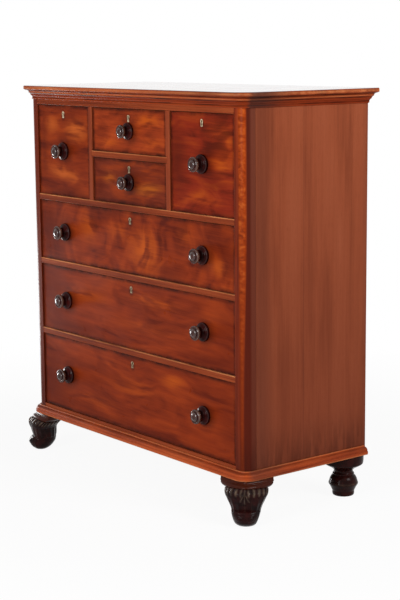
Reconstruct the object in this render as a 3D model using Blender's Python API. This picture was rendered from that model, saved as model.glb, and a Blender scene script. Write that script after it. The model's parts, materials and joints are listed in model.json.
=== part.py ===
"""Victorian mahogany chest of seven drawers, in metres, +Z up, with its front facing -Y.

The carcase stands in the frame of the empty "carcase": x from the middle of the front, y from the
face of the drawer rails into the depth, z from the underside of the plinth. Each drawer hangs on an
empty of its own, on the line along which the drawer slides.
"""

import math

import bmesh
import bpy
from mathutils import Vector

# Clearances between pieces
FIT = 0.0003  # glued or resting faces
DRAWER_PLAY = 0.0015  # beside and above a drawer front
RUN_PLAY = 0.0004  # under the sides of a drawer

# Carcase
CASE_WIDTH = 1.128
CASE_DEPTH = 0.482
CASE_HEIGHT = 1.1105
CORNER_RADIUS = 0.028
POST_WIDTH = 0.045
POST_DEPTH = 0.042
SIDE_THICKNESS = 0.020
TONGUE_LENGTH = 0.007
TONGUE_THICKNESS = 0.007
HOUSING_DEPTH = 0.006
BACK_THICKNESS = 0.009
BACK_SETBACK = 0.003
BACK_REBATE = 0.010
BACK_BOARDS = 6
BOARD_GROOVE = 0.003

# Heights from the floor up. The lowest drawer takes what the others leave of the carcase.
FOOT_HEIGHT = 0.132
BASE_RAIL = 0.037
MIDDLE_OPENING = 0.222
UPPER_OPENING = 0.199
DEEP_OPENING = 0.299
CENTRE_LOWER_OPENING = 0.141
RAIL = 0.019
TOP_RAIL = 0.0485
TOP_THICKNESS = 0.013

# Frames that carry the drawers
RAIL_DEPTH = 0.055
TENON_LENGTH = 0.005
TENON_SETBACK = 0.006
TENON_DEPTH = 0.030
RUNNER_WIDTH = 0.032
REAR_RAIL_DEPTH = 0.045
DUST_BOARD = 0.009
DUST_RECESS = 0.005
GUIDE_HEIGHT = 0.022
STOP_WIDTH = 0.045
STOP_DEPTH = 0.026
STOP_HEIGHT = 0.0055
DIVIDER_WIDTH = 0.0213
CENTRE_OPENING_WIDTH = 0.3912

# Top, cornice and plinth
TOP_OVERHANG = 0.032
TOP_BACK_OVERHANG = 0.015
CORNICE_HEIGHT = 0.0318
CORNICE_RAKE = 0.013
PLINTH_HEIGHT = 0.0265
PLINTH_END = 0.006
PLINTH_PROJECTION = 0.0195
CORNER_STEPS = 6

# Drawers
FRONT_RECESS = 0.004
FRONT_THICKNESS = 0.022
FRONT_LIFT = 0.001
DRAWER_LENGTH = 0.442
DRAWER_SIDE = 0.010
DRAWER_BACK = 0.010
BACK_INSET = 0.001
DRAWER_BOTTOM = 0.006
BOTTOM_HEIGHT = 0.008
BOTTOM_GROOVE = 0.006
SIDE_DROP = 0.003
BACK_DROP = 0.006
LAP = 0.006
DOVETAIL_PITCH = 0.058
TAIL_SHARE = 0.72
DOVETAIL_SLOPE = 1 / 7
SUNK = 0.004  # how far pieces that are glued into one solid enter each other

# Lock and escutcheon
LOCK_WIDTH = 0.056
LOCK_HEIGHT = 0.040
LOCK_DEPTH = 0.0095
SELVEDGE_DEPTH = 0.015
SELVEDGE_THICKNESS = 0.0018
KEYHOLE_DROP = 0.0245
ESCUTCHEON_RADIUS = 0.0062
ESCUTCHEON_SKIRT = 0.0048
ESCUTCHEON_HEIGHT = 0.0215
ESCUTCHEON_WALL = 0.0022
ESCUTCHEON_DEPTH = 0.005
ESCUTCHEON_PROUD = 0.0006
KEYHOLE_WALL = 0.0008

# Turned knobs
KNOB_LENGTH = 0.043
KNOB_RADIUS = 0.029
SMALL_KNOB_SCALE = 0.92
SPIGOT_RADIUS = 0.007
SPIGOT_LENGTH = 0.020
KNOB_SEGMENTS = 16
KNOB_BORE_SIDES = 10

# Feet
DOWEL_RADIUS = 0.010
DOWEL_LENGTH = 0.028
DOWEL_INSET = 0.034
FOOT_HALF_WIDTH = 0.0785
FOOT_POINTS = 26
FLUTES = 7
FLUTE_DEPTH = 0.06
REAR_FOOT_INSET = 0.045
REAR_FOOT_SETBACK = 0.049
REAR_FOOT_RADIUS = 0.046
FOOT_SEGMENTS = 16

# Measures that follow from those above
OPENING_HALF = CASE_WIDTH / 2 - POST_WIDTH
INNER_HALF = CASE_WIDTH / 2 - SIDE_THICKNESS
HOUSED_HALF = INNER_HALF + HOUSING_DEPTH
BACK_FACE = CASE_DEPTH - BACK_SETBACK - BACK_THICKNESS
DIVIDER_INNER = CENTRE_OPENING_WIDTH / 2
DIVIDER_OUTER = DIVIDER_INNER + DIVIDER_WIDTH
TOP_FRAME = CASE_HEIGHT - TOP_RAIL
DEEP_FLOOR = TOP_FRAME - DEEP_OPENING
CENTRE_FRAME = DEEP_FLOOR + CENTRE_LOWER_OPENING
CENTRE_FLOOR = CENTRE_FRAME + RAIL
UPPER_FRAME = DEEP_FLOOR - RAIL
UPPER_FLOOR = UPPER_FRAME - UPPER_OPENING
MIDDLE_FRAME = UPPER_FLOOR - RAIL
MIDDLE_FLOOR = MIDDLE_FRAME - MIDDLE_OPENING
LOWER_FRAME = MIDDLE_FLOOR - RAIL
LOWER_OPENING = LOWER_FRAME - BASE_RAIL
TOP_UNDERSIDE = CASE_HEIGHT + FIT
KNOB_REACH = KNOB_LENGTH - FRONT_RECESS
TOE_REACH = 0.4866 * FOOT_HALF_WIDTH  # how far the toe of a front foot stands out before the rails
CASE_FRONT = -(CASE_DEPTH + TOP_BACK_OVERHANG - max(KNOB_REACH, TOE_REACH)) / 2
KNOB_LINE = (DIVIDER_OUTER + OPENING_HALF) / 2


def principled(name, colour, roughness, metallic=0.0):
    """A Principled material of one plain colour."""
    made = bpy.data.materials.new(name)
    made.use_nodes = True
    shader = made.node_tree.nodes["Principled BSDF"]
    shader.inputs["Base Color"].default_value = (*colour, 1.0)
    shader.inputs["Roughness"].default_value = roughness
    shader.inputs["Metallic"].default_value = metallic
    return made


def mesh_of(name, bm):
    """The mesh of a bmesh, with its faces pointing out."""
    bmesh.ops.recalc_face_normals(bm, faces=bm.faces)
    if bm.calc_volume(signed=True) < 0:
        bmesh.ops.reverse_faces(bm, faces=bm.faces)
    mesh = bpy.data.meshes.new(name)
    bm.to_mesh(mesh)
    bm.free()
    return mesh


def place(name, bm, mat, parent, location=(0, 0, 0), turn=0.0):
    """An object made of a bmesh."""
    return place_copy(name, mesh_of(name, bm), mat, parent, location, turn)


def place_copy(name, mesh, mat, parent, location=(0, 0, 0), turn=0.0):
    """An object that shares a mesh with others."""
    obj = bpy.data.objects.new(name, mesh)
    bpy.context.scene.collection.objects.link(obj)
    obj.parent = parent
    obj.location = location
    obj.rotation_euler.z = turn
    if mat is not None and not mesh.materials:
        mesh.materials.append(mat)
    return obj


def empty(name, parent, location):
    """An empty that carries the pieces of one assembly."""
    made = bpy.data.objects.new(name, None)
    bpy.context.scene.collection.objects.link(made)
    made.parent = parent
    made.location = location
    return made


def smooth(obj, degrees=35):
    """Smooth shading, with edges sharper than this left sharp."""
    obj.data.shade_smooth()
    obj.data.set_sharp_from_angle(angle=math.radians(degrees))


def boolean(obj, bm, operation, name):
    """A live Boolean on an object, by a hidden helper in the same frame."""
    helper = place(f"{obj.name}_{name}", bm, None, obj.parent, obj.location, obj.rotation_euler.z)
    helper.hide_render = True
    helper.display_type = "WIRE"
    modifier = obj.modifiers.new(name, "BOOLEAN")
    modifier.operation = operation
    modifier.solver = "EXACT"
    modifier.object = helper


def carve(obj, name, *shapes):
    """Cuts shapes that don't meet each other out of an object."""
    boolean(obj, together(*shapes), "DIFFERENCE", name)


def weld_on(obj, name, *shapes):
    """Joins shapes that don't meet each other to an object."""
    boolean(obj, together(*shapes), "UNION", name)


def together(*shapes):
    """One bmesh that holds several separate ones."""
    whole = bmesh.new()
    for shape in shapes:
        mesh = mesh_of("shape", shape)
        whole.from_mesh(mesh)
        bpy.data.meshes.remove(mesh)
    return whole


def prism(outline, low, high, axis="Z"):
    """An outline extruded along an axis. Along X its points are (y, z), along Y (x, z)."""

    def at(point, level):
        a, b = point
        return {"Z": (a, b, level), "X": (level, a, b), "Y": (a, level, b)}[axis]

    bm = bmesh.new()
    face = bm.faces.new([bm.verts.new(at(p, low)) for p in outline])
    moved = bmesh.ops.extrude_face_region(bm, geom=[face])["geom"]
    travel = Vector(at((0, 0), high - low))
    verts = [v for v in moved if isinstance(v, bmesh.types.BMVert)]
    bmesh.ops.translate(bm, verts=verts, vec=travel)
    return bm


def block(x0, x1, y0, y1, z0, z1):
    """A rectangular block between two corners."""
    return prism([(x0, y0), (x1, y0), (x1, y1), (x0, y1)], z0, z1)


def loft(rings, closed=False):
    """Quads from ring to ring, with a face on each end unless the rings close on themselves."""
    bm = bmesh.new()
    loops = [[bm.verts.new(p) for p in ring] for ring in rings]
    pairs = list(zip(loops, loops[1:])) + ([(loops[-1], loops[0])] if closed else [])
    for one, other in pairs:
        for i in range(len(one)):
            j = (i + 1) % len(one)
            bm.faces.new((one[i], one[j], other[j], other[i]))
    if not closed:
        bm.faces.new(loops[0])
        bm.faces.new(loops[-1])
    return bm


def turned(profile, segments, axis="Z"):
    """A profile of (radius, height) points, from axis to axis, spun round Z, or round Y for a knob."""
    bm = bmesh.new()
    if axis == "Z":
        verts = [bm.verts.new((r, 0, h)) for r, h in profile]
    else:
        verts = [bm.verts.new((r, h, 0)) for r, h in profile]
    edges = [bm.edges.new(pair) for pair in zip(verts, verts[1:])]
    bmesh.ops.spin(
        bm,
        geom=verts + edges,
        cent=(0, 0, 0),
        axis=(0, 0, 1) if axis == "Z" else (0, 1, 0),
        angle=math.tau,
        steps=segments,
        use_merge=True,
    )
    bmesh.ops.remove_doubles(bm, verts=bm.verts, dist=1e-6)
    return bm


def rod(radius, low, high, centre, axis="Z", sides=16):
    """A round bar along Z at (x, y), or along Y at (x, z)."""
    turns = [math.tau * (i + 0.5) / sides for i in range(sides)]
    outline = [(centre[0] + radius * math.cos(a), centre[1] + radius * math.sin(a)) for a in turns]
    return prism(outline, low, high, axis)


def bore(radius, low, high, centre, axis="Z", sides=16):
    """A cutter whose flats clear a round piece of this radius."""
    return rod((radius + FIT) / math.cos(math.pi / sides), low, high, centre, axis, sides)


def case_outline():
    """Points round the front and sides of the carcase with their outward directions, left to right."""
    points = []
    for side, start in ((-1, math.pi), (1, 1.5 * math.pi)):
        centre = Vector((side * (CASE_WIDTH / 2 - CORNER_RADIUS), CORNER_RADIUS))
        for step in range(CORNER_STEPS + 1):
            angle = start + 0.5 * math.pi * step / CORNER_STEPS
            out = Vector((math.cos(angle), math.sin(angle)))
            points.append((centre + CORNER_RADIUS * out, out))
    return points


def plan(offset, back):
    """The carcase's plan grown by an offset, closed by a straight back edge."""
    front = [base + offset * out for base, out in case_outline()]
    return [(-CASE_WIDTH / 2 - offset, back), *front, (CASE_WIDTH / 2 + offset, back)]


def moulding(profile, back, rake=0.0):
    """A profile of (offset, height) points run round the front and both sides, mitred round the
    corners. The ends are cut square at the back, or raked: further back the higher they are."""
    lowest = min(h for _, h in profile)
    highest = max(h for _, h in profile)
    left = (Vector((-CASE_WIDTH / 2, back)), Vector((-1, 0)))
    right = (Vector((CASE_WIDTH / 2, back)), Vector((1, 0)))
    rings = []
    for base, out in [left, *case_outline(), right]:
        ends = base.y == back
        ring = []
        for offset, height in profile:
            lean = rake * (height - lowest) / (highest - lowest) if ends else 0.0
            ring.append((base.x + offset * out.x, base.y + offset * out.y + lean, height))
        rings.append(ring)
    return loft(rings)


def arc(centre, radius, start, end, steps):
    """Points along an arc, angles in degrees."""
    turns = [math.radians(start + (end - start) * i / steps) for i in range(steps + 1)]
    return [(centre[0] + radius * math.cos(a), centre[1] + radius * math.sin(a)) for a in turns]


def cornice_profile():
    """From the case up: bead, cove, fillet, cavetto and the bed under the lip of the top."""
    top = TOP_UNDERSIDE - FIT
    low = top - CORNICE_HEIGHT
    bead = arc((0.0022, low + 0.0022), 0.0022, -60, 80, 3)
    cove = arc((0.0105, low + 0.0055), 0.0080, 180, 105, 4)
    step = [(0.0085, -0.0160), (0.0118, -0.0112), (0.0150, -0.0102), (0.0150, -0.0068)]
    cavetto = [(0.0162, -0.0044), (0.0190, -0.0026), (0.0228, -0.0014), (0.0268, -0.0011)]
    upper = [(offset, top + drop) for offset, drop in [*step, *cavetto]]
    return [(FIT, low), *bead, *cove, *upper, (0.0270, top), (FIT, top)]


def plinth_profile():
    """A flat face with a small round under an ovolo."""
    reach = PLINTH_PROJECTION
    ovolo = arc((reach - 0.0130, PLINTH_HEIGHT - 0.0140), 0.0105, 0, 90, 5)
    return [
        (FIT, 0.0),
        (reach - 0.0015, 0.0),
        (reach, 0.0030),
        (reach, 0.0095),
        (reach - 0.0012, 0.0112),
        *ovolo,
        (reach - 0.0145, PLINTH_HEIGHT),
        (FIT, PLINTH_HEIGHT),
    ]


def make_top(carcase, veneer, case_wood):
    """The top board with its rounded lip, and the moulding under it."""
    nosing = [(0.003, 0.0), (0.0005, 0.0022), (0.0, 0.0065), (0.0012, 0.0105), (0.0045, TOP_THICKNESS)]
    back = CASE_DEPTH + TOP_BACK_OVERHANG
    rings = [
        [(x, y, TOP_UNDERSIDE + height) for x, y in plan(TOP_OVERHANG - inset, back)]
        for inset, height in nosing
    ]
    smooth(place("top_board", loft(rings), veneer, carcase))
    cornice = moulding(cornice_profile(), CASE_DEPTH, CORNICE_RAKE)
    smooth(place("cornice_moulding", cornice, case_wood, carcase))


def make_plinth(carcase, wood):
    """The moulding round the foot of the carcase."""
    run = moulding(plinth_profile(), CASE_DEPTH - PLINTH_END)
    smooth(place("plinth_moulding", run, wood, carcase))


def frame_levels():
    """The underside and thickness of each frame that runs between the posts."""
    return [
        (0.0, BASE_RAIL),
        (LOWER_FRAME, RAIL),
        (MIDDLE_FRAME, RAIL),
        (UPPER_FRAME, RAIL),
        (TOP_FRAME, TOP_RAIL),
    ]


def mirrored(outline, side):
    """An outline drawn for the right side, on the side given."""
    return [(side * x, y) for x, y in outline]


def make_post(carcase, name, side, wood):
    """A corner post: rounded outside, grooved for the side panel, mortised for the rails and
    bored for the dowel of the foot."""
    outer = CASE_WIDTH / 2
    inner = outer - POST_WIDTH
    near = outer - (SIDE_THICKNESS - TONGUE_THICKNESS) / 2 + FIT
    far = near - TONGUE_THICKNESS - 2 * FIT
    floor = POST_DEPTH - TONGUE_LENGTH - FIT
    round_corner = arc((outer - CORNER_RADIUS, CORNER_RADIUS), CORNER_RADIUS, -90, 0, 2 * CORNER_STEPS)
    outline = [
        (inner, 0.0),
        *round_corner,
        (outer, POST_DEPTH),
        (near, POST_DEPTH),
        (near, floor),
        (far, floor),
        (far, POST_DEPTH),
        (inner, POST_DEPTH),
    ]
    post = place(name, prism(mirrored(outline, side), 0.0, CASE_HEIGHT), wood, carcase)
    smooth(post)
    x0, x1 = sorted((side * (inner - SUNK), side * (inner + TENON_LENGTH + FIT)))
    mortises = [
        block(x0, x1, TENON_SETBACK - FIT, TENON_SETBACK + TENON_DEPTH + FIT, *mortise_span(low, tall))
        for low, tall in frame_levels()
    ]
    inset = DOWEL_INSET / math.sqrt(2)
    carve(post, "mortises", *mortises)
    carve(post, "bore", bore(DOWEL_RADIUS, -SUNK, DOWEL_LENGTH + FIT, (side * (outer - inset), inset)))


def mortise_span(low, tall):
    """The height of a recess for a frame. The lowest and the highest run out of the wood."""
    bottom = low - (FIT if low > 0 else SUNK)
    top = low + tall + (FIT if low + tall < CASE_HEIGHT - FIT else SUNK)
    return bottom, top


def make_side(carcase, name, side, wood):
    """A side panel: a tongue in the post, a rebate for the back and a housing for each frame."""
    outer = CASE_WIDTH / 2
    start = POST_DEPTH + FIT
    near = outer - (SIDE_THICKNESS - TONGUE_THICKNESS) / 2
    far = near - TONGUE_THICKNESS
    outline = [
        (outer, start),
        (outer, CASE_DEPTH),
        (outer - BACK_REBATE, CASE_DEPTH),
        (outer - BACK_REBATE, BACK_FACE),
        (INNER_HALF, BACK_FACE),
        (INNER_HALF, start),
        (far, start),
        (far, start - TONGUE_LENGTH),
        (near, start - TONGUE_LENGTH),
        (near, start),
    ]
    panel = place(name, prism(mirrored(outline, side), 0.0, CASE_HEIGHT), wood, carcase)
    x0, x1 = sorted((side * (INNER_HALF - SUNK), side * HOUSED_HALF))
    housings = [
        block(x0, x1, start + TONGUE_LENGTH, BACK_FACE + SUNK, *mortise_span(low, tall))
        for low, tall in frame_levels()
    ]
    carve(panel, "housings", *housings)


def make_back(carcase, wood):
    """The back: upright boards side by side, with a shallow V at each joint."""
    half = CASE_WIDTH / 2 - BACK_REBATE - FIT
    rear = BACK_FACE + FIT + BACK_THICKNESS
    outline = [(-half, BACK_FACE + FIT), (half, BACK_FACE + FIT), (half, rear)]
    for i in range(BACK_BOARDS - 1, 0, -1):
        joint = -half + 2 * half * i / BACK_BOARDS
        outline += [
            (joint + BOARD_GROOVE / 2, rear),
            (joint, rear - BOARD_GROOVE / 2),
            (joint - BOARD_GROOVE / 2, rear),
        ]
    outline.append((-half, rear))
    place("back_panel", prism(outline, 0.0, CASE_HEIGHT), wood, carcase)


def pockets(spans, low, high):
    """Recesses between the front rail, the runners and the rear rail of a frame."""
    rear = BACK_FACE - REAR_RAIL_DEPTH
    return [block(x0, x1, RAIL_DEPTH, rear, low, high) for x0, x1 in spans]


def long_span():
    """The space between the runners of a long drawer."""
    half = OPENING_HALF - RUNNER_WIDTH
    return [(-half, half)]


def short_spans():
    """The spaces between the runners of the three drawers side by side in the top row."""
    outer = OPENING_HALF - RUNNER_WIDTH
    inner = DIVIDER_OUTER + RUNNER_WIDTH
    middle = DIVIDER_INNER - RUNNER_WIDTH
    return [(-outer, -inner), (-middle, middle), (inner, outer)]


def drawer_stops(centres, floor):
    """Small blocks behind the rail, which the back of a drawer front comes up against."""
    face = FRONT_RECESS + FRONT_THICKNESS + FIT
    half = STOP_WIDTH / 2
    return [
        block(x - half, x + half, face, face + STOP_DEPTH, floor - SUNK, floor + STOP_HEIGHT)
        for x in centres
    ]


def make_frame(carcase, name, level, tall, wood, above=(), below=(), under_recess=DUST_RECESS, stops=()):
    """A frame between the posts and the sides: front rail, runners, rear rail and dust board."""
    half = OPENING_HALF - FIT
    tenon = OPENING_HALF + TENON_LENGTH
    behind = POST_DEPTH + 2 * FIT
    end = TENON_SETBACK + TENON_DEPTH
    step = POST_DEPTH + FIT + TONGUE_LENGTH
    right = [
        (half, 0.0),
        (half, TENON_SETBACK),
        (tenon, TENON_SETBACK),
        (tenon, end),
        (half, end),
        (half, behind),
        (INNER_HALF - FIT, behind),
        (INNER_HALF - FIT, step + FIT),
        (HOUSED_HALF - FIT, step + FIT),
        (HOUSED_HALF - FIT, BACK_FACE - FIT),
    ]
    left = [(-x, y) for x, y in reversed(right)]
    frame = place(name, prism(right + left, level, level + tall), wood, carcase)
    if above:
        carve(frame, "dust_recess", *pockets(above, level + tall - DUST_RECESS, level + tall + SUNK))
    if below:
        carve(frame, "under_recess", *pockets(below, level - SUNK, level + under_recess))
    if stops:
        weld_on(frame, "stops", *drawer_stops(stops, level + tall))
    return frame


def add_guides(frame, floor):
    """Strips along the sides, in line with the posts, that keep the drawers straight."""
    strips = []
    for side in (-1, 1):
        x0, x1 = sorted((side * OPENING_HALF, side * (INNER_HALF - 2 * FIT)))
        y0, y1 = POST_DEPTH + 3 * FIT, BACK_FACE - 2 * FIT
        strips.append(block(x0, x1, y0, y1, floor - SUNK, floor + GUIDE_HEIGHT))
    weld_on(frame, "guides", *strips)


def make_frames(carcase, wood):
    """The frames from the bottom of the carcase up."""
    long_stops = (-OPENING_HALF / 2, OPENING_HALF / 2)
    thick_recess = BASE_RAIL - DUST_RECESS - DUST_BOARD
    long = long_span()
    base = make_frame(carcase, "base_frame", 0.0, BASE_RAIL, wood, long, long, thick_recess, long_stops)
    bores = [
        bore(DOWEL_RADIUS, -SUNK, DOWEL_LENGTH + FIT, (side * rear_foot_x(), rear_foot_y()))
        for side in (-1, 1)
    ]
    carve(base, "dowel_bores", *bores)
    add_guides(base, BASE_RAIL)
    for name, level in (("drawer_frame_lower", LOWER_FRAME), ("drawer_frame_middle", MIDDLE_FRAME)):
        frame = make_frame(carcase, name, level, RAIL, wood, long, long, stops=long_stops)
        add_guides(frame, level + RAIL)
    stops = (-KNOB_LINE, 0.0, KNOB_LINE)
    short = short_spans()
    upper = make_frame(carcase, "drawer_frame_upper", UPPER_FRAME, RAIL, wood, short, long, stops=stops)
    add_guides(upper, DEEP_FLOOR)
    top_recess = TOP_RAIL - DUST_RECESS - DUST_BOARD
    make_frame(carcase, "top_frame", TOP_FRAME, TOP_RAIL, wood, short, short, top_recess)


def make_dividers(carcase, wood):
    """The partitions between the drawers of the top row, and the frame between the two small ones."""
    rear = BACK_FACE - FIT
    low, high = DEEP_FLOOR + FIT, TOP_FRAME - FIT
    for side, name in ((-1, "divider_left"), (1, "divider_right")):
        x0, x1 = sorted((side * DIVIDER_INNER, side * DIVIDER_OUTER))
        board = place(name, block(x0, x1, 0.0, rear, low, high), wood, carcase)
        h0, h1 = sorted((side * (DIVIDER_INNER - SUNK), side * (DIVIDER_INNER + HOUSING_DEPTH)))
        carve(board, "housing", block(h0, h1, -SUNK, rear + SUNK, CENTRE_FRAME - FIT, CENTRE_FLOOR + FIT))
    half = DIVIDER_INNER + HOUSING_DEPTH - FIT
    frame = place("centre_frame", block(-half, half, 0.0, rear, CENTRE_FRAME, CENTRE_FLOOR), wood, carcase)
    between = short_spans()[1:2]
    carve(frame, "dust_recess", *pockets(between, CENTRE_FLOOR - DUST_RECESS, CENTRE_FLOOR + SUNK))
    carve(frame, "under_recess", *pockets(between, CENTRE_FRAME - SUNK, CENTRE_FRAME + DUST_RECESS))
    weld_on(frame, "stops", *drawer_stops([0.0], CENTRE_FLOOR))


# The scroll foot from its cap down to its toe. Depth is a share of the foot's height. The rest are
# shares of the cap's half width: how far the front, the widest line and the back lie outside the
# corner of the carcase along the diagonal, and the half width across it. The last number is how full
# the outline is: near 1 it is a square set cornerwise, at 2 an oval, above that a rounded block.
SCROLL_SHARES = [
    (0.000, 0.064, -0.675, -1.592, 1.000, 1.15),
    (0.061, 0.070, -0.650, -1.503, 0.987, 1.15),
    (0.114, 0.127, -0.599, -1.338, 0.936, 1.20),
    (0.167, 0.210, -0.535, -1.172, 0.873, 1.30),
    (0.205, 0.274, -0.484, -1.070, 0.815, 1.40),
    (0.280, 0.382, -0.357, -0.930, 0.815, 1.60),
    (0.337, 0.408, -0.280, -0.854, 0.803, 1.60),
    (0.394, 0.382, -0.229, -0.803, 0.752, 1.70),
    (0.470, 0.346, -0.217, -0.783, 0.694, 1.90),
    (0.553, 0.298, -0.242, -0.777, 0.624, 2.10),
    (0.640, 0.242, -0.255, -0.762, 0.573, 2.30),
    (0.667, 0.334, -0.204, -0.752, 0.561, 2.20),
    (0.712, 0.395, -0.178, -0.739, 0.548, 2.20),
    (0.773, 0.436, -0.153, -0.720, 0.522, 2.20),
    (0.833, 0.431, -0.127, -0.662, 0.490, 2.20),
    (0.902, 0.382, -0.115, -0.573, 0.446, 2.20),
    (0.951, 0.312, -0.102, -0.484, 0.401, 2.20),
    (1.000, 0.191, -0.089, -0.357, 0.318, 2.00),
]
FLUTED_SHARES = (0.38, 0.63)  # the part of the height that carries the flutes


def scroll_ring(level):
    """The outline of the scroll foot at one level, pressed in along its flutes."""
    depth, front, middle, back, half_width, fullness = level
    flute = FLUTE_DEPTH if FLUTED_SHARES[0] < depth < FLUTED_SHARES[1] else 0.0
    height = -FIT - depth * (FOOT_HEIGHT - FIT)
    ring = []
    for i in range(FOOT_POINTS):
        angle = math.tau * i / FOOT_POINTS
        across = math.copysign(abs(math.sin(angle)) ** (2 / fullness), math.sin(angle))
        along = math.copysign(abs(math.cos(angle)) ** (2 / fullness), math.cos(angle))
        reach = front - middle if along > 0 else middle - back
        groove = 1.0 - flute * (0.5 - 0.5 * math.cos(FLUTES * angle))
        x = FOOT_HALF_WIDTH * half_width * across * groove
        y = FOOT_HALF_WIDTH * (middle + reach * along * groove)
        ring.append((x, -y, height))
    return ring


def scroll_foot():
    """The carved front foot, its front facing -Y, standing under the corner at the origin."""
    return loft([scroll_ring(level) for level in SCROLL_SHARES])


def rear_foot_x():
    """How far a rear foot stands from the middle."""
    return CASE_WIDTH / 2 - REAR_FOOT_INSET


def rear_foot_y():
    """How far a rear foot stands behind the face of the rails."""
    return CASE_DEPTH - REAR_FOOT_SETBACK


def rear_foot():
    """The turned rear foot: a round cap, a cove, a collar, a bulb and a pad, with its dowel."""
    share = FOOT_HEIGHT - FIT
    outline = [
        (0.00, -1.000),
        (0.68, -1.000),
        (0.74, -0.965),
        (0.74, -0.895),
        (0.87, -0.800),
        (1.00, -0.710),
        (0.89, -0.585),
        (0.70, -0.500),
        (0.72, -0.470),
        (0.64, -0.420),
        (0.74, -0.360),
        (0.97, -0.300),
        (1.24, -0.250),
        (1.35, -0.190),
        (1.36, 0.000),
    ]
    profile = [(REAR_FOOT_RADIUS * r, -FIT + share * h) for r, h in outline]
    profile += [(DOWEL_RADIUS, -FIT), (DOWEL_RADIUS, DOWEL_LENGTH - FIT), (0.0, DOWEL_LENGTH - FIT)]
    return turned(profile, FOOT_SEGMENTS)


def make_feet(carcase, dark):
    """Two scroll feet set cornerwise in front, and two turned feet behind."""
    corner = CASE_WIDTH / 2
    for side, name in ((-1, "foot_front_left"), (1, "foot_front_right")):
        foot = place(name, scroll_foot(), dark, carcase, (side * corner, 0, 0), side * math.pi / 4)
        smooth(foot, 50)
        weld_on(foot, "dowel", rod(DOWEL_RADIUS, -SUNK, DOWEL_LENGTH - FIT, (0.0, DOWEL_INSET)))
    shared = place("foot_rear_left", rear_foot(), dark, carcase, (-rear_foot_x(), rear_foot_y(), 0))
    smooth(shared, 50)
    place_copy("foot_rear_right", shared.data, dark, carcase, (rear_foot_x(), rear_foot_y(), 0))


def knob_profile(scale):
    """From the end of the spigot, over the rose and the neck, to the button of the head."""
    outline = [
        (0.95, 0.000),
        (1.00, 0.070),
        (0.98, 0.190),
        (0.80, 0.280),
        (0.56, 0.370),
        (0.58, 0.540),
        (0.76, 0.660),
        (0.78, 0.790),
        (0.64, 0.890),
        (0.50, 0.860),
        (0.30, 0.975),
        (0.00, 1.000),
    ]
    length, radius = KNOB_LENGTH * scale, KNOB_RADIUS * scale
    spigot = [(0.0, SPIGOT_LENGTH), (SPIGOT_RADIUS, SPIGOT_LENGTH), (SPIGOT_RADIUS, -FIT)]
    return spigot + [(radius * r, -FIT - (length - FIT) * h) for r, h in outline]


def knob_mesh(scale, dark):
    """The mesh that knobs of one size share, its axis along Y from the drawer's face."""
    mesh = mesh_of("knob", turned(knob_profile(scale), KNOB_SEGMENTS, "Y"))
    mesh.materials.append(dark)
    mesh.shade_smooth()
    mesh.set_sharp_from_angle(angle=math.radians(50))
    return mesh


def keyhole(wall):
    """The outline of the escutcheon, or of the hole a wall's width inside it, round the keyhole's pin."""
    radius = ESCUTCHEON_RADIUS - wall
    skirt = ESCUTCHEON_SKIRT - wall
    foot = ESCUTCHEON_RADIUS - ESCUTCHEON_HEIGHT + wall
    waist = 0.62 * radius
    head = arc((0.0, 0.0), radius, -52, 232, 8)
    return [(skirt, foot), (waist, foot / 2), *head, (-waist, foot / 2), (-skirt, foot)]


def escutcheon_mesh(brass):
    """The brass thread escutcheon: a keyhole-shaped band let into the drawer front."""
    front, rear = -ESCUTCHEON_PROUD, ESCUTCHEON_DEPTH
    outer, inner = keyhole(0.0), keyhole(ESCUTCHEON_WALL)
    loops = ((outer, front), (outer, rear), (inner, rear), (inner, front))
    rings = [[(x, y, z) for x, z in outline] for outline, y in loops]
    mesh = mesh_of("escutcheon", loft(rings, closed=True))
    mesh.materials.append(brass)
    return mesh


def lock_outline(grow):
    """A lock from the side, from its top edge down: the case, and the selvedge over the drawer's edge."""
    rear = FRONT_THICKNESS + (SUNK if grow else 0.0)
    top = SUNK if grow else 0.0
    body = FRONT_THICKNESS - LOCK_DEPTH - grow
    lip = FRONT_THICKNESS - SELVEDGE_DEPTH - grow
    under = -SELVEDGE_THICKNESS - grow
    foot = -LOCK_HEIGHT - grow
    return [(rear, top), (lip, top), (lip, under), (body, under), (body, foot), (rear, foot)]


def tails(height):
    """The dovetails up a drawer side: the middle and the half width of each, at its root."""
    count = max(2, round(height / DOVETAIL_PITCH))
    pitch = height / count
    return [((i + 0.5) * pitch, pitch * TAIL_SHARE / 2) for i in range(count)]


def tail_outline(middle, root, grow, overrun):
    """A dovetail seen from the side: its tip lies a lap's width behind the drawer's face."""
    tip_y = LAP + FIT - grow
    shoulder = FRONT_THICKNESS + FIT + overrun
    flare = (FRONT_THICKNESS - LAP) * DOVETAIL_SLOPE
    start = root - flare / 2 + grow - overrun * DOVETAIL_SLOPE
    end = root + flare / 2 + grow
    lower = [(shoulder, middle - start), (tip_y, middle - end)]
    return [*lower, (tip_y, middle + end), (shoulder, middle + start)]


def side_outline(height):
    """A drawer side seen from the side, with its row of tails towards the front."""
    shoulder = FRONT_THICKNESS + FIT
    outline = [(DRAWER_LENGTH, 0.0), (shoulder, 0.0)]
    for middle, root in tails(height):
        outline += tail_outline(middle, root, 0.0, 0.0)
    return [*outline, (shoulder, height), (DRAWER_LENGTH, height)]


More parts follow.
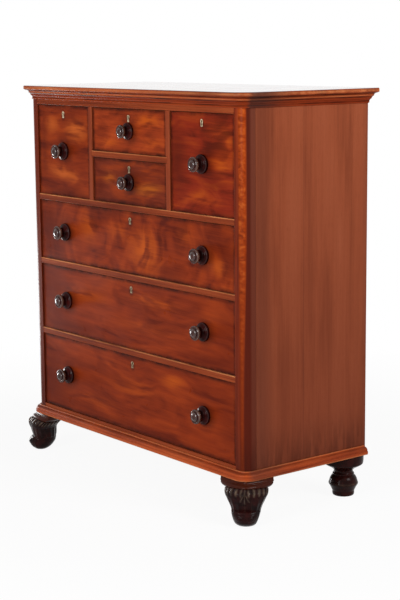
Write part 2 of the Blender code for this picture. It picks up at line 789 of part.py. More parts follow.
class Drawer:
    """One drawer: where it runs, how large its opening is and what is fixed to its front."""

    def __init__(self, name, x0, x1, floor, opening, knobs, small=False):
        self.name = name
        self.middle = (x0 + x1) / 2
        self.floor = floor
        self.half = (x1 - x0) / 2 - DRAWER_PLAY
        self.front_height = opening - FRONT_LIFT - DRAWER_PLAY
        self.top = FRONT_LIFT + self.front_height
        self.side_height = self.top - RUN_PLAY - SIDE_DROP
        self.knobs = knobs
        self.small = small
        self.knob_height = FRONT_LIFT + self.front_height / 2
        self.keyhole_height = self.top - KEYHOLE_DROP

    def make_front(self, seat, wood):
        """The front, with sockets for the dovetails, a groove for the bottom, and the seats of the
        lock, the escutcheon and the knobs."""
        low, high = FRONT_LIFT, self.top
        board = block(-self.half, self.half, 0.0, FRONT_THICKNESS, low, high)
        front = place(f"front_{self.name}", board, wood, seat)
        cuts = []
        for side in (-1, 1):
            x0, x1 = sorted((side * (self.half - DRAWER_SIDE - FIT), side * (self.half + SUNK)))
            for middle, root in tails(self.side_height):
                shape = tail_outline(middle + RUN_PLAY, root, FIT, SUNK)
                cuts.append(prism(shape, x0, x1, "X"))
        for x, _ in self.knobs:
            at = (x, self.knob_height)
            cuts.append(bore(SPIGOT_RADIUS, -SUNK, FRONT_THICKNESS + SUNK, at, "Y", KNOB_BORE_SIDES))
        carve(front, "sockets", *cuts)
        half = self.groove_half() + FIT
        depth = (FRONT_THICKNESS - BOTTOM_GROOVE - FIT, FRONT_THICKNESS + SUNK)
        low = RUN_PLAY + BOTTOM_HEIGHT - FIT
        high = low + DRAWER_BOTTOM + 2 * FIT
        carve(front, "groove", block(-half, half, *depth, low, high))
        pocket = [(y, self.top + z) for y, z in lock_outline(FIT)]
        half = LOCK_WIDTH / 2 + FIT
        carve(front, "lock_pocket", prism(pocket, -half, half, "X"))
        seat_outline = [(x, self.keyhole_height + z) for x, z in keyhole(-FIT)]
        carve(front, "escutcheon_seat", prism(seat_outline, -SUNK, ESCUTCHEON_DEPTH + FIT, "Y"))
        hole = [(x, self.keyhole_height + z) for x, z in keyhole(ESCUTCHEON_WALL + KEYHOLE_WALL)]
        through = FRONT_THICKNESS - LOCK_DEPTH + SUNK / 4
        carve(front, "keyhole", prism(hole, ESCUTCHEON_DEPTH - SUNK, through, "Y"))

    def groove_half(self):
        """Half the width of the bottom where it enters the groove of the front."""
        return self.half - DRAWER_SIDE - 2 * SUNK

    def make_box(self, seat, wood):
        """The box behind the front: bottom, dovetailed sides and back, glued into one."""
        base = RUN_PLAY + BOTTOM_HEIGHT
        shoulder = FRONT_THICKNESS + FIT
        wide = self.half - DRAWER_SIDE + SUNK
        tongue = self.groove_half()
        end = DRAWER_LENGTH - DRAWER_BACK + SUNK
        outline = [
            (-tongue, FRONT_THICKNESS - BOTTOM_GROOVE),
            (tongue, FRONT_THICKNESS - BOTTOM_GROOVE),
            (tongue, shoulder + SUNK),
            (wide, shoulder + SUNK),
            (wide, end),
            (-wide, end),
            (-wide, shoulder + SUNK),
            (-tongue, shoulder + SUNK),
        ]
        box = place(f"box_{self.name}", prism(outline, base, base + DRAWER_BOTTOM), wood, seat)
        boards = []
        for side in (-1, 1):
            x0, x1 = sorted((side * (self.half - DRAWER_SIDE), side * self.half))
            shape = [(y, RUN_PLAY + z) for y, z in side_outline(self.side_height)]
            boards.append(prism(shape, x0, x1, "X"))
        weld_on(box, "sides", *boards)
        rear = DRAWER_LENGTH - BACK_INSET
        half = self.half - DRAWER_SIDE + SUNK / 2
        low, high = base + DRAWER_BOTTOM / 2, self.top - SIDE_DROP - BACK_DROP
        weld_on(box, "back", block(-half, half, rear - DRAWER_BACK, rear, low, high))

    def make(self, carcase, woods, shared):
        """The whole drawer on its empty."""
        seat = empty(f"{self.name}_drawer", carcase, (self.middle, FRONT_RECESS, self.floor))
        self.make_front(seat, woods["veneer"])
        self.make_box(seat, woods["pine"])
        key = (0.0, 0.0, self.keyhole_height)
        place_copy(f"escutcheon_{self.name}", shared["escutcheon"], None, seat, key)
        place_copy(f"lock_{self.name}", shared["lock"], None, seat, (0.0, 0.0, self.top))
        mesh = shared["small_knob" if self.small else "knob"]
        for x, ending in self.knobs:
            place_copy(f"knob_{self.name}{ending}", mesh, None, seat, (x, 0.0, self.knob_height))


def drawers():
    """The seven drawers, top row first."""
    single = [(0.0, "")]
    pair = [(-KNOB_LINE, "_left"), (KNOB_LINE, "_right")]
    centre = (-DIVIDER_INNER, DIVIDER_INNER)
    whole = (-OPENING_HALF, OPENING_HALF)
    upper_height = DEEP_OPENING - CENTRE_LOWER_OPENING - RAIL
    return [
        Drawer("top_left", -OPENING_HALF, -DIVIDER_OUTER, DEEP_FLOOR, DEEP_OPENING, single),
        Drawer("centre_upper", *centre, CENTRE_FLOOR, upper_height, single, small=True),
        Drawer("centre_lower", *centre, DEEP_FLOOR, CENTRE_LOWER_OPENING, single, small=True),
        Drawer("top_right", DIVIDER_OUTER, OPENING_HALF, DEEP_FLOOR, DEEP_OPENING, single),
        Drawer("long_upper", *whole, UPPER_FLOOR, UPPER_OPENING, pair),
        Drawer("long_middle", *whole, MIDDLE_FLOOR, MIDDLE_OPENING, pair),
        Drawer("long_lower", *whole, BASE_RAIL, LOWER_OPENING, pair),
    ]


def lock_mesh(brass):
    """The mesh that the locks share, its origin in the top edge of the drawer front."""
    mesh = mesh_of("lock", prism(lock_outline(0.0), -LOCK_WIDTH / 2, LOCK_WIDTH / 2, "X"))
    mesh.materials.append(brass)
    return mesh


def main():
    """Clears the scene and builds the chest."""
    for obj in list(bpy.data.objects):
        bpy.data.objects.remove(obj)
    veneer = principled("figured_mahogany", (0.24, 0.065, 0.025), 0.32)
    case_wood = principled("mahogany", (0.20, 0.075, 0.040), 0.35)
    pine = principled("pine", (0.50, 0.34, 0.19), 0.65)
    dark = principled("ebonised_wood", (0.022, 0.013, 0.010), 0.25)
    brass = principled("brass", (0.62, 0.47, 0.24), 0.35, 0.9)
    carcase = empty("carcase", None, (0.0, CASE_FRONT, FOOT_HEIGHT))
    make_top(carcase, veneer, case_wood)
    make_plinth(carcase, case_wood)
    for side, hand in ((-1, "left"), (1, "right")):
        make_post(carcase, f"corner_post_{hand}", side, case_wood)
        make_side(carcase, f"side_panel_{hand}", side, case_wood)
    make_back(carcase, pine)
    make_frames(carcase, case_wood)
    make_dividers(carcase, case_wood)
    make_feet(carcase, dark)
    shared = {
        "knob": knob_mesh(1.0, dark),
        "small_knob": knob_mesh(SMALL_KNOB_SCALE, dark),
        "escutcheon": escutcheon_mesh(brass),
        "lock": lock_mesh(brass),
    }
    for drawer in drawers():
        drawer.make(carcase, {"veneer": veneer, "pine": pine}, shared)


main()
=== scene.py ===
"""Dresses the mahogany chest of drawers: veneers, mouldings, carved feet, knobs, brass and studio.

Lengths are in metres. The front of the chest faces -Y, +X is to the right of it and +Z is up.
"""

import json
import logging
import math
from collections.abc import Iterable, Mapping, Sequence
from dataclasses import dataclass, replace
from enum import Enum
from functools import reduce

import bmesh
import bpy
from mathutils import Matrix, Vector

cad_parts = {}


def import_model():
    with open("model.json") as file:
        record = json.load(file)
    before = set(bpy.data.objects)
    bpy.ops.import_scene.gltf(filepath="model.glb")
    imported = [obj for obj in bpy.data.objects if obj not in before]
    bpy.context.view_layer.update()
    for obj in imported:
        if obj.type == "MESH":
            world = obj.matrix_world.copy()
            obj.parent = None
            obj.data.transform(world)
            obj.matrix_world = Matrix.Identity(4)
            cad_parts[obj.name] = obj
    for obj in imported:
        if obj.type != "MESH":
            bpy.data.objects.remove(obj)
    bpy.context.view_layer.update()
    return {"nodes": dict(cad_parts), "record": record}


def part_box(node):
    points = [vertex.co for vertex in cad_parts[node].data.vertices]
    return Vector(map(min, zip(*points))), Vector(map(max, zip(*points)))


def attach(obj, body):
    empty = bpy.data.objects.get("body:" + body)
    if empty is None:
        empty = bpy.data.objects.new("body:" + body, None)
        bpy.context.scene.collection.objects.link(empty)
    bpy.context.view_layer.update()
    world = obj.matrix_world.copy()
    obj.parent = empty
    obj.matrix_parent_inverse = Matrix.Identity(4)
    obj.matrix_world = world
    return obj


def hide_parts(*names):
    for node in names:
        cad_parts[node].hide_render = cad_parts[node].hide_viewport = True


LOG = logging.getLogger("chest_of_drawers")

Point = tuple[float, float]
Triple = tuple[float, float, float]
Colour = Triple
BMesh = bmesh.types.BMesh
Material = bpy.types.Material

# How near two corners are to be one, and two heights to be the same.
MERGED = 1e-6
LEVEL = 1e-5


def seen(red: int, green: int, blue: int) -> Colour:
    """A colour as a screen shows it, each channel from 0 to 255, as the linear one that a shader takes."""
    shares = (level / 255 for level in (red, green, blue))
    return tuple(s / 12.92 if s <= 0.04045 else ((s + 0.055) / 1.055) ** 2.4 for s in shares)


@dataclass(frozen=True)
class Carcase:
    """The sizes of the carcase that the pieces round it share."""

    half_width: float = 0.564
    depth: float = 0.482
    height: float = 1.1105
    corner: float = 0.028
    front: float = -0.2290
    floor: float = 0.132
    overhang: float = 0.032
    back_overhang: float = 0.015
    boards: int = 6
    gap: float = 0.0003

    def at(self, x: float, y: float, z: float) -> Vector:
        """A place measured from the rails' face and the plinth's underside, in the chest's frame."""
        return Vector((x, y + self.front, z + self.floor))


CASE = Carcase()


# Meshes


def ridge(value: float, middle: float, reach: float) -> float:
    """1 at the middle, falling evenly to 0 at the reach on both sides."""
    return max(0.0, 1 - abs(value - middle) / reach)


def faces_of(geometry: Iterable[object]) -> list[bmesh.types.BMFace]:
    """The faces among the geometry that an operator returned."""
    return [g for g in geometry if isinstance(g, bmesh.types.BMFace)]


def marks(bm: BMesh, *names: str) -> list[bmesh.types.BMLayerItem]:
    """Adds numbers that each vertex carries into its material."""
    return [bm.verts.layers.float.new(name) for name in names]


def middle_of(node: str) -> Point:
    """The middle of a node as seen from in front, as (x, z)."""
    low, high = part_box(node)
    return ((low.x + high.x) / 2, (low.z + high.z) / 2)


def arc(centre: Point, radius: float, start: float, end: float, steps: int) -> list[Point]:
    """Points along an arc of some chords, from one angle to another in degrees."""
    turns = [math.radians(start + (end - start) * i / steps) for i in range(steps + 1)]
    return [(centre[0] + radius * math.cos(a), centre[1] + radius * math.sin(a)) for a in turns]


def eased(points: Sequence[Point], steps: int = 3) -> list[Point]:
    """A smooth curve through points. A point given twice makes a corner there.

    Args:
        points: The points.
        steps: How many chords stand between two points.

    Returns:
        The points of the curve.
    """
    curve = []
    last = len(points) - 1
    for i in range(last):
        before, one, two, after = (points[min(max(j, 0), last)] for j in range(i - 1, i + 3))
        if one == two:
            continue
        for t in (step / steps for step in range(steps)):
            curve.append(tuple(
                q + ((r - p) * t + (2 * p - 5 * q + 4 * r - s) * t**2 + (3 * q - p - 3 * r + s) * t**3) / 2
                for p, q, r, s in zip(before, one, two, after)
            ))
    return [*curve, points[-1]]


def placed(bm: BMesh, verts: Sequence[object], where: Sequence[float], turn: Matrix | None = None) -> None:
    """Turns vertices about the origin and moves them.

    Args:
        bm: The mesh under work.
        verts: The vertices.
        where: How far they go.
        turn: How they turn before that.
    """
    if turn is not None:
        bmesh.ops.rotate(bm, verts=verts, cent=(0, 0, 0), matrix=turn)
    bmesh.ops.translate(bm, verts=verts, vec=where)


def pushed(bm: BMesh, faces: list[bmesh.types.BMFace], travel: Vector) -> list[bmesh.types.BMFace]:
    """Extrudes faces and moves their new ends.

    Args:
        bm: The mesh under work.
        faces: The faces to extrude.
        travel: How far the ends go.

    Returns:
        The faces at the new end.
    """
    geometry = bmesh.ops.extrude_face_region(bm, geom=faces)["geom"]
    placed(bm, [g for g in geometry if isinstance(g, bmesh.types.BMVert)], travel)
    return faces_of(geometry)


def run_round(profile: Sequence[Point], back: float, rake: float = 0.0, steps: int = 20) -> BMesh:
    """Runs a closed profile up the left side, across the front and down the right side of the case.

    Args:
        profile: Points of (distance out of the case, height over the plinth's underside).
        back: Where the run ends, measured from the rails' face.
        rake: How much further back its top ends than its underside.
        steps: How many chords each rounded corner has.

    Returns:
        The moulding, closed at both ends.
    """
    bm = bmesh.new()
    reach = back - CASE.corner
    middle = CASE.half_width - CASE.corner
    end = [bm.faces.new([bm.verts.new(CASE.at(-CASE.half_width - out, back, z)) for out, z in profile])]
    end = pushed(bm, end, Vector((0, -reach, 0)))
    for side, travel in ((-1, Vector((2 * middle, 0, 0))), (1, Vector((0, reach, 0)))):
        centre = CASE.at(side * middle, CASE.corner, 0)
        turned = bmesh.ops.spin(bm, geom=end, cent=centre, axis=(0, 0, 1), angle=math.pi / 2, steps=steps)
        end = pushed(bm, faces_of(turned["geom_last"]), travel)
    inner = [f for f in bm.faces if all(len(e.link_faces) > 2 for e in f.edges)]
    bmesh.ops.delete(bm, geom=inner, context="FACES_ONLY")
    low = min(z for _, z in profile)
    tall = max(z for _, z in profile) - low
    for vert in bm.verts:
        if abs(vert.co.y - CASE.front - back) < LEVEL:
            vert.co.y += rake * (vert.co.z - CASE.floor - low) / tall
    return bm


def spun(profile: Sequence[Point], segments: int, axis: str = "Z") -> BMesh:
    """Turns a profile as on a lathe.

    Args:
        profile: Points of (radius, height), the first and the last on the axis.
        segments: How many faces go round.
        axis: "Z" for a foot, "Y" for a knob.

    Returns:
        The closed turned shape, its axis through the origin.
    """
    bm = bmesh.new()
    upright = axis == "Z"
    verts = [bm.verts.new((r, 0, h) if upright else (r, h, 0)) for r, h in profile]
    edges = [bm.edges.new(pair) for pair in zip(verts, verts[1:])]
    about = (0, 0, 1) if upright else (0, 1, 0)
    bmesh.ops.spin(
        bm, geom=verts + edges, cent=(0, 0, 0), axis=about, angle=math.tau, steps=segments, use_merge=True
    )
    bmesh.ops.remove_doubles(bm, verts=bm.verts, dist=MERGED)
    return bm


def bevelled(bm: BMesh, geometry: Sequence[object], width: float, segments: int, **settings: object) -> None:
    """Rounds edges over a width, or corners of a flat outline where the settings say so."""
    usual = {"offset_type": "OFFSET", "profile": 0.5, "affect": "EDGES", "material": -1}
    bmesh.ops.bevel(bm, geom=geometry, offset=width, segments=segments, **(usual | settings))


def rounded_edges(bm: BMesh, width: float, segments: int, angle: float, shortest: float = 0.0) -> None:
    """Rounds the outer edges that turn by more than an angle, in degrees, unless they are too short."""
    outer = (e for e in bm.edges if e.is_manifold and e.is_convex and e.calc_length() >= shortest)
    bevelled(bm, [e for e in outer if e.calc_face_angle() > math.radians(angle)], width, segments)


def put(
    name: str,
    bm: BMesh,
    finish: Material,
    body: str,
    replaced: Sequence[str],
    sharp: float,
    flat: bool = False,
) -> None:
    """Makes a finished piece of a mesh and fixes it to the body that carries it.

    Args:
        name: The piece's name.
        bm: Its mesh, in the chest's frame.
        finish: Its material.
        body: The body that it rides on.
        replaced: The nodes that it stands for.
        sharp: Edges that turn more than this, in degrees, stay sharp in shading.
        flat: Whether its large faces are flat and keep the shading to its rounded arrises.
    """
    bmesh.ops.remove_doubles(bm, verts=bm.verts, dist=MERGED)
    bmesh.ops.recalc_face_normals(bm, faces=bm.faces)
    if bm.calc_volume(signed=True) < 0:
        bmesh.ops.reverse_faces(bm, faces=bm.faces)
    mesh = bpy.data.meshes.new(name)
    bm.to_mesh(mesh)
    bm.free()
    mesh.materials.append(finish)
    mesh.shade_smooth()
    mesh.set_sharp_from_angle(angle=math.radians(sharp))
    piece = bpy.data.objects.new(name, mesh)
    if flat:
        even = piece.modifiers.new("flat faces stay flat", "WEIGHTED_NORMAL")
        even.keep_sharp = True
        even.weight = 70
    bpy.context.scene.collection.objects.link(piece)
    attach(piece, body)
    if replaced:
        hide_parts(*replaced)
    LOG.info("%s: %d faces on %s", name, len(mesh.polygons), body)


# Materials


class Signal:
    """What a node gives out: a number, a place or a colour, to be worked with as in a formula."""

    def __init__(self, tree: "Tree", socket: bpy.types.NodeSocket) -> None:
        """Keeps the node's output and the tree that it stands in."""
        self.tree = tree
        self.socket = socket

    def __add__(self, other: "Value") -> "Signal":
        """The sum of both."""
        return self.tree.math("ADD", self, other)

    def __sub__(self, other: "Value") -> "Signal":
        """What is left of it."""
        return self.tree.math("SUBTRACT", self, other)

    def __rsub__(self, other: float) -> "Signal":
        """What is left of a number."""
        return self.tree.math("SUBTRACT", other, self)

    def __mul__(self, other: "Value") -> "Signal":
        """The product of both."""
        return self.tree.math("MULTIPLY", self, other)

    def __abs__(self) -> "Signal":
        """Its size without its sign."""
        return self.tree.math("ABSOLUTE", self)


Value = Signal | float | Sequence[float]


class Tree:
    """A node tree and the means to fill it."""

    def __init__(self, tree: bpy.types.NodeTree) -> None:
        """Keeps the tree."""
        self.tree = tree

    def feed(self, socket: bpy.types.NodeSocket, value: Value) -> None:
        """Links an output to a socket, or sets the socket to a constant.

        Args:
            socket: The socket.
            value: The output, or the constant.
        """
        if isinstance(value, Signal):
            self.tree.links.new(value.socket, socket)
        elif socket.type == "RGBA":
            socket.default_value = (*value, 1.0)
        else:
            socket.default_value = value

    def node(
        self, kind: str, inputs: Mapping[str | int, Value], output: str | int = 0, **settings: object
    ) -> Signal:
        """Adds a node.

        Args:
            kind: The node's type, without the words ShaderNode.
            inputs: What its sockets are fed.
            output: The output that is asked for.
            settings: Its properties.

        Returns:
            That output.
        """
        made = self.tree.nodes.new(f"ShaderNode{kind}")
        for key, value in settings.items():
            setattr(made, key, value)
        for key, value in inputs.items():
            self.feed(made.inputs[key], value)
        return Signal(self, made.outputs[output])

    def math(self, operation: str, one: Value, two: Value = 0.0, clamp: bool = False) -> Signal:
        """An operation on one or two numbers, kept between 0 and 1 if it is clamped."""
        return self.node("Math", {0: one, 1: two}, operation=operation, use_clamp=clamp)

    def shown(self) -> Signal:
        """Whether a ray shows the backdrop, and doesn't light the chest.

        Returns:
            1 for such a ray, and 0 for others.
        """
        path = self.node("LightPath", {}).socket.node.outputs
        rays = (Signal(self, path[f"Is {kind} Ray"]) for kind in ("Camera", "Transmission", "Glossy"))
        return reduce(lambda one, two: self.math("MAXIMUM", one, two), rays)


class Graph(Tree):
    """The node tree of one material, whose patterns read the piece's own coordinates."""

    def __init__(self, name: str) -> None:
        """Starts the material.

        Args:
            name: Its name.
        """
        self.material = bpy.data.materials.new(name)
        self.material.use_nodes = True
        super().__init__(self.material.node_tree)
        self.shader = self.tree.nodes["Principled BSDF"]
        self.place = self.node("TexCoord", {}, "Object")
        axes = self.node("SeparateXYZ", {0: self.place}).socket.node.outputs
        self.x, self.y, self.z = (Signal(self, axis) for axis in axes)

    def carried(self, name: str) -> Signal:
        """A number that the piece's vertices carry."""
        return self.node("Attribute", {}, "Fac", attribute_name=name)

    def joined(self, *numbers: Value) -> Signal:
        """A place from its three coordinates."""
        return self.node("CombineXYZ", dict(enumerate(numbers)))

    def mapped(self, scale: Sequence[float], shift: Sequence[float] = (0, 0, 0), turn: float = 0.0) -> Signal:
        """A pattern's coordinates: scaled, shifted to an origin and turned about Y by some degrees."""
        inputs = {"Vector": self.place, "Location": shift, "Rotation": (0, math.radians(turn), 0),
                  "Scale": [1 / s for s in scale]}
        return self.node("Mapping", inputs, vector_type="TEXTURE")

    def noise(self, pattern: Value, detail: float, roughness: float, distortion: float = 0.0) -> Signal:
        """Cloudy noise.

        Args:
            pattern: The coordinates that it reads, or its scale along each axis.
            detail: How many finer layers it has.
            roughness: How strong these are.
            distortion: How far it is stirred.

        Returns:
            The noise, from 0 to 1.
        """
        place = pattern if isinstance(pattern, Signal) else self.mapped(pattern)
        finer = {"Detail": detail, "Roughness": roughness, "Distortion": distortion}
        return self.node("TexNoise", {"Vector": place, "Scale": 1.0, **finer}, "Fac")

    def stirred(self, place: Signal, scale: float, reach: float) -> Signal:
        """Coordinates pushed about by soft noise, for grain that wanders.

        Args:
            place: The coordinates.
            scale: The size of the noise.
            reach: How far it pushes.

        Returns:
            The new coordinates.
        """
        soft = self.node("TexNoise", {"Vector": self.place, "Scale": scale, "Detail": 2.0}, "Color")
        away = self.node("VectorMath", {0: soft, 1: (0.5, 0.5, 0.5)}, operation="SUBTRACT")
        return self.node("VectorMath", {0: away, 1: (reach,) * 3, 2: place}, operation="MULTIPLY_ADD")

    def span(
        self, value: Value, low: Value, high: Value, start: Value = 0.0, end: Value = 1.0, soft: bool = True
    ) -> Signal:
        """Maps a number from low and high to start and end, clamped there, and eased if it is soft."""
        inputs = dict(enumerate((value, low, high, start, end)))
        return self.node("MapRange", inputs, interpolation_type="SMOOTHSTEP" if soft else "LINEAR")

    def mix(self, share: Value, one: Value, two: Value) -> Signal:
        """Two colours blended, with that share of the second one."""
        return self.node("Mix", {0: share, 6: one, 7: two}, 2, data_type="RGBA")

    def ramp(self, value: Value, *stops: tuple[float, Colour]) -> Signal:
        """Turns a number into a colour.

        Args:
            value: The number.
            stops: The colours and where each stands.

        Returns:
            The colour.
        """
        made = self.node("ValToRGB", {0: value})
        elements = made.socket.node.color_ramp.elements
        while len(elements) < len(stops):
            elements.new(0.5)
        for element, (at, colour) in zip(elements, stops):
            element.position = at
            element.color = (*colour, 1.0)
        return made

    def oval(self, x: float, z: float, wide: float, tall: float, turn: float = 0.0) -> Signal:
        """A soft oval round (x, z), 1 in its middle and 0 beyond its half sizes, leaning by some degrees."""
        place = self.mapped((1 / wide, 1e-4, 1 / tall), (x, 0, z), turn)
        return self.span(self.node("VectorMath", {0: place}, "Value", operation="LENGTH"), 1.0, 0.0)

    def bump(self, height: Value, strength: float, depth: float, under: Signal | None = None) -> Signal:
        """A normal pushed about by a height of some metres' depth, on top of the one under it."""
        inputs = {"Strength": strength, "Distance": depth, "Height": height}
        return self.node("Bump", inputs | ({"Normal": under} if under else {}))

    def end(self, colour: Value, roughness: Value, **others: Value) -> Material:
        """Feeds the shader.

        Args:
            colour: The base colour.
            roughness: The roughness.
            others: Other inputs of the shader, with _ for each space.

        Returns:
            The material.
        """
        for key, value in {"Base_Color": colour, "Roughness": roughness, **others}.items():
            self.feed(self.shader.inputs[key.replace("_", " ")], value)
        return self.material


class Grain(Enum):
    """The direction in which the fibres of a piece run."""

    ACROSS = "x"
    DEEP = "y"
    UPRIGHT = "z"
    ROUND = "round"

    def stretch(self, along: float, across: float) -> Triple:
        """The scale of a pattern that is drawn out along the fibres."""
        return tuple(along if letter == self.value else across for letter in "xyz")


@dataclass(frozen=True)
class Pine:
    """Bare softwood, yellowed and dusty, with darker late wood."""

    grain: Grain
    pale: Colour = seen(186, 148, 102)
    late: Colour = seen(148, 102, 60)
    dust: Colour = seen(126, 98, 70)

    def colour(self, graph: Graph) -> Signal:
        """The wood's colour, for a material that shows it in part.

        Args:
            graph: The material's graph.

        Returns:
            The colour.
        """
        rings = graph.noise(graph.stirred(graph.mapped(self.grain.stretch(0.9, 26)), 3.0, 0.35), 3, 0.55, 0.6)
        lines = graph.noise(self.grain.stretch(4, 420), 2, 0.6)
        wood = graph.ramp(rings, (0.34, self.pale), (0.5, self.late), (0.56, self.pale), (0.7, self.late))
        wood = graph.mix(graph.span(lines, 0.4, 0.75, 0, 0.35), wood, self.late)
        grime_and_shade = graph.noise((7, 7, 7), 4, 0.6)
        return graph.mix(graph.span(grime_and_shade, 0.42, 0.72, 0.08, 0.6), wood, self.dust)

    def fibres(self, graph: Graph) -> Signal:
        """The normal of its raised fibres."""
        return graph.bump(graph.noise(self.grain.stretch(14, 700), 3, 0.6), 0.35, 0.0006)

    def make(self, name: str) -> Material:
        """The material of that name."""
        graph = Graph(name)
        return graph.end(self.colour(graph), 0.72, Normal=self.fibres(graph), Specular_IOR_Level=0.25)


@dataclass(frozen=True)
class BackBoards:
    """Upright softwood boards side by side, each with its own grain, tone and open joint."""

    left: float
    breadth: float
    pine: Pine = Pine(Grain.UPRIGHT)
    joint: float = 0.0012
    shadow: Colour = seen(34, 24, 16)

    def make(self, name: str) -> Material:
        """The material.

        Args:
            name: Its name.

        Returns:
            The material.
        """
        graph = Graph(name)
        width = self.breadth / CASE.boards
        place = graph.math("DIVIDE", graph.x - self.left, width)
        number = graph.math("FLOOR", place)
        graph.place = graph.joined(graph.x, graph.y + number * 3.7, graph.z + number * 1.9)
        tone = graph.math("FRACT", number * 0.618)
        wood = graph.mix(tone * 0.35, self.pine.colour(graph), self.pine.dust)
        across = graph.math("FRACT", place)
        edge = graph.math("MINIMUM", across, 1.0 - across)
        near = graph.span(edge, 1.6 * self.joint / width, 0.6 * self.joint / width)
        wood = graph.mix(near, wood, self.shadow)
        return graph.end(wood, 0.75, Normal=self.pine.fibres(graph), Specular_IOR_Level=0.15)


@dataclass(frozen=True)
class Crest:
    """A band at one height: a painted highlight along an arris, which on the rails also stands for rubbing,
    or painted shade in a hollow or a low band.
    """

    level: float
    reach: float
    strength: float
    hollow: bool = False


@dataclass(frozen=True)
class Stripe:
    """A painted highlight down the round of a corner post: a fiery stripe with flecks of figure, a painted
    shade stripe after it and a painted sheen on the side beyond.

    Where it begins and ends is an angle round the corner in radians, given for the foot of the post and for
    its upper part. Its edges are soft by some further angle.
    """

    shade: Colour = seen(118, 40, 8)
    body: Colour = seen(162, 62, 14)
    fleck: Colour = seen(196, 94, 34)
    dusk: Colour = seen(70, 26, 18)
    dull: Colour = seen(112, 58, 42)
    strength: float = 0.9
    begins: Point = (0.14, -0.06)
    ends: Point = (0.74, 1.08)
    soft: Point = (0.34, 0.38)
    ragged: Point = (0.2, 0.75)


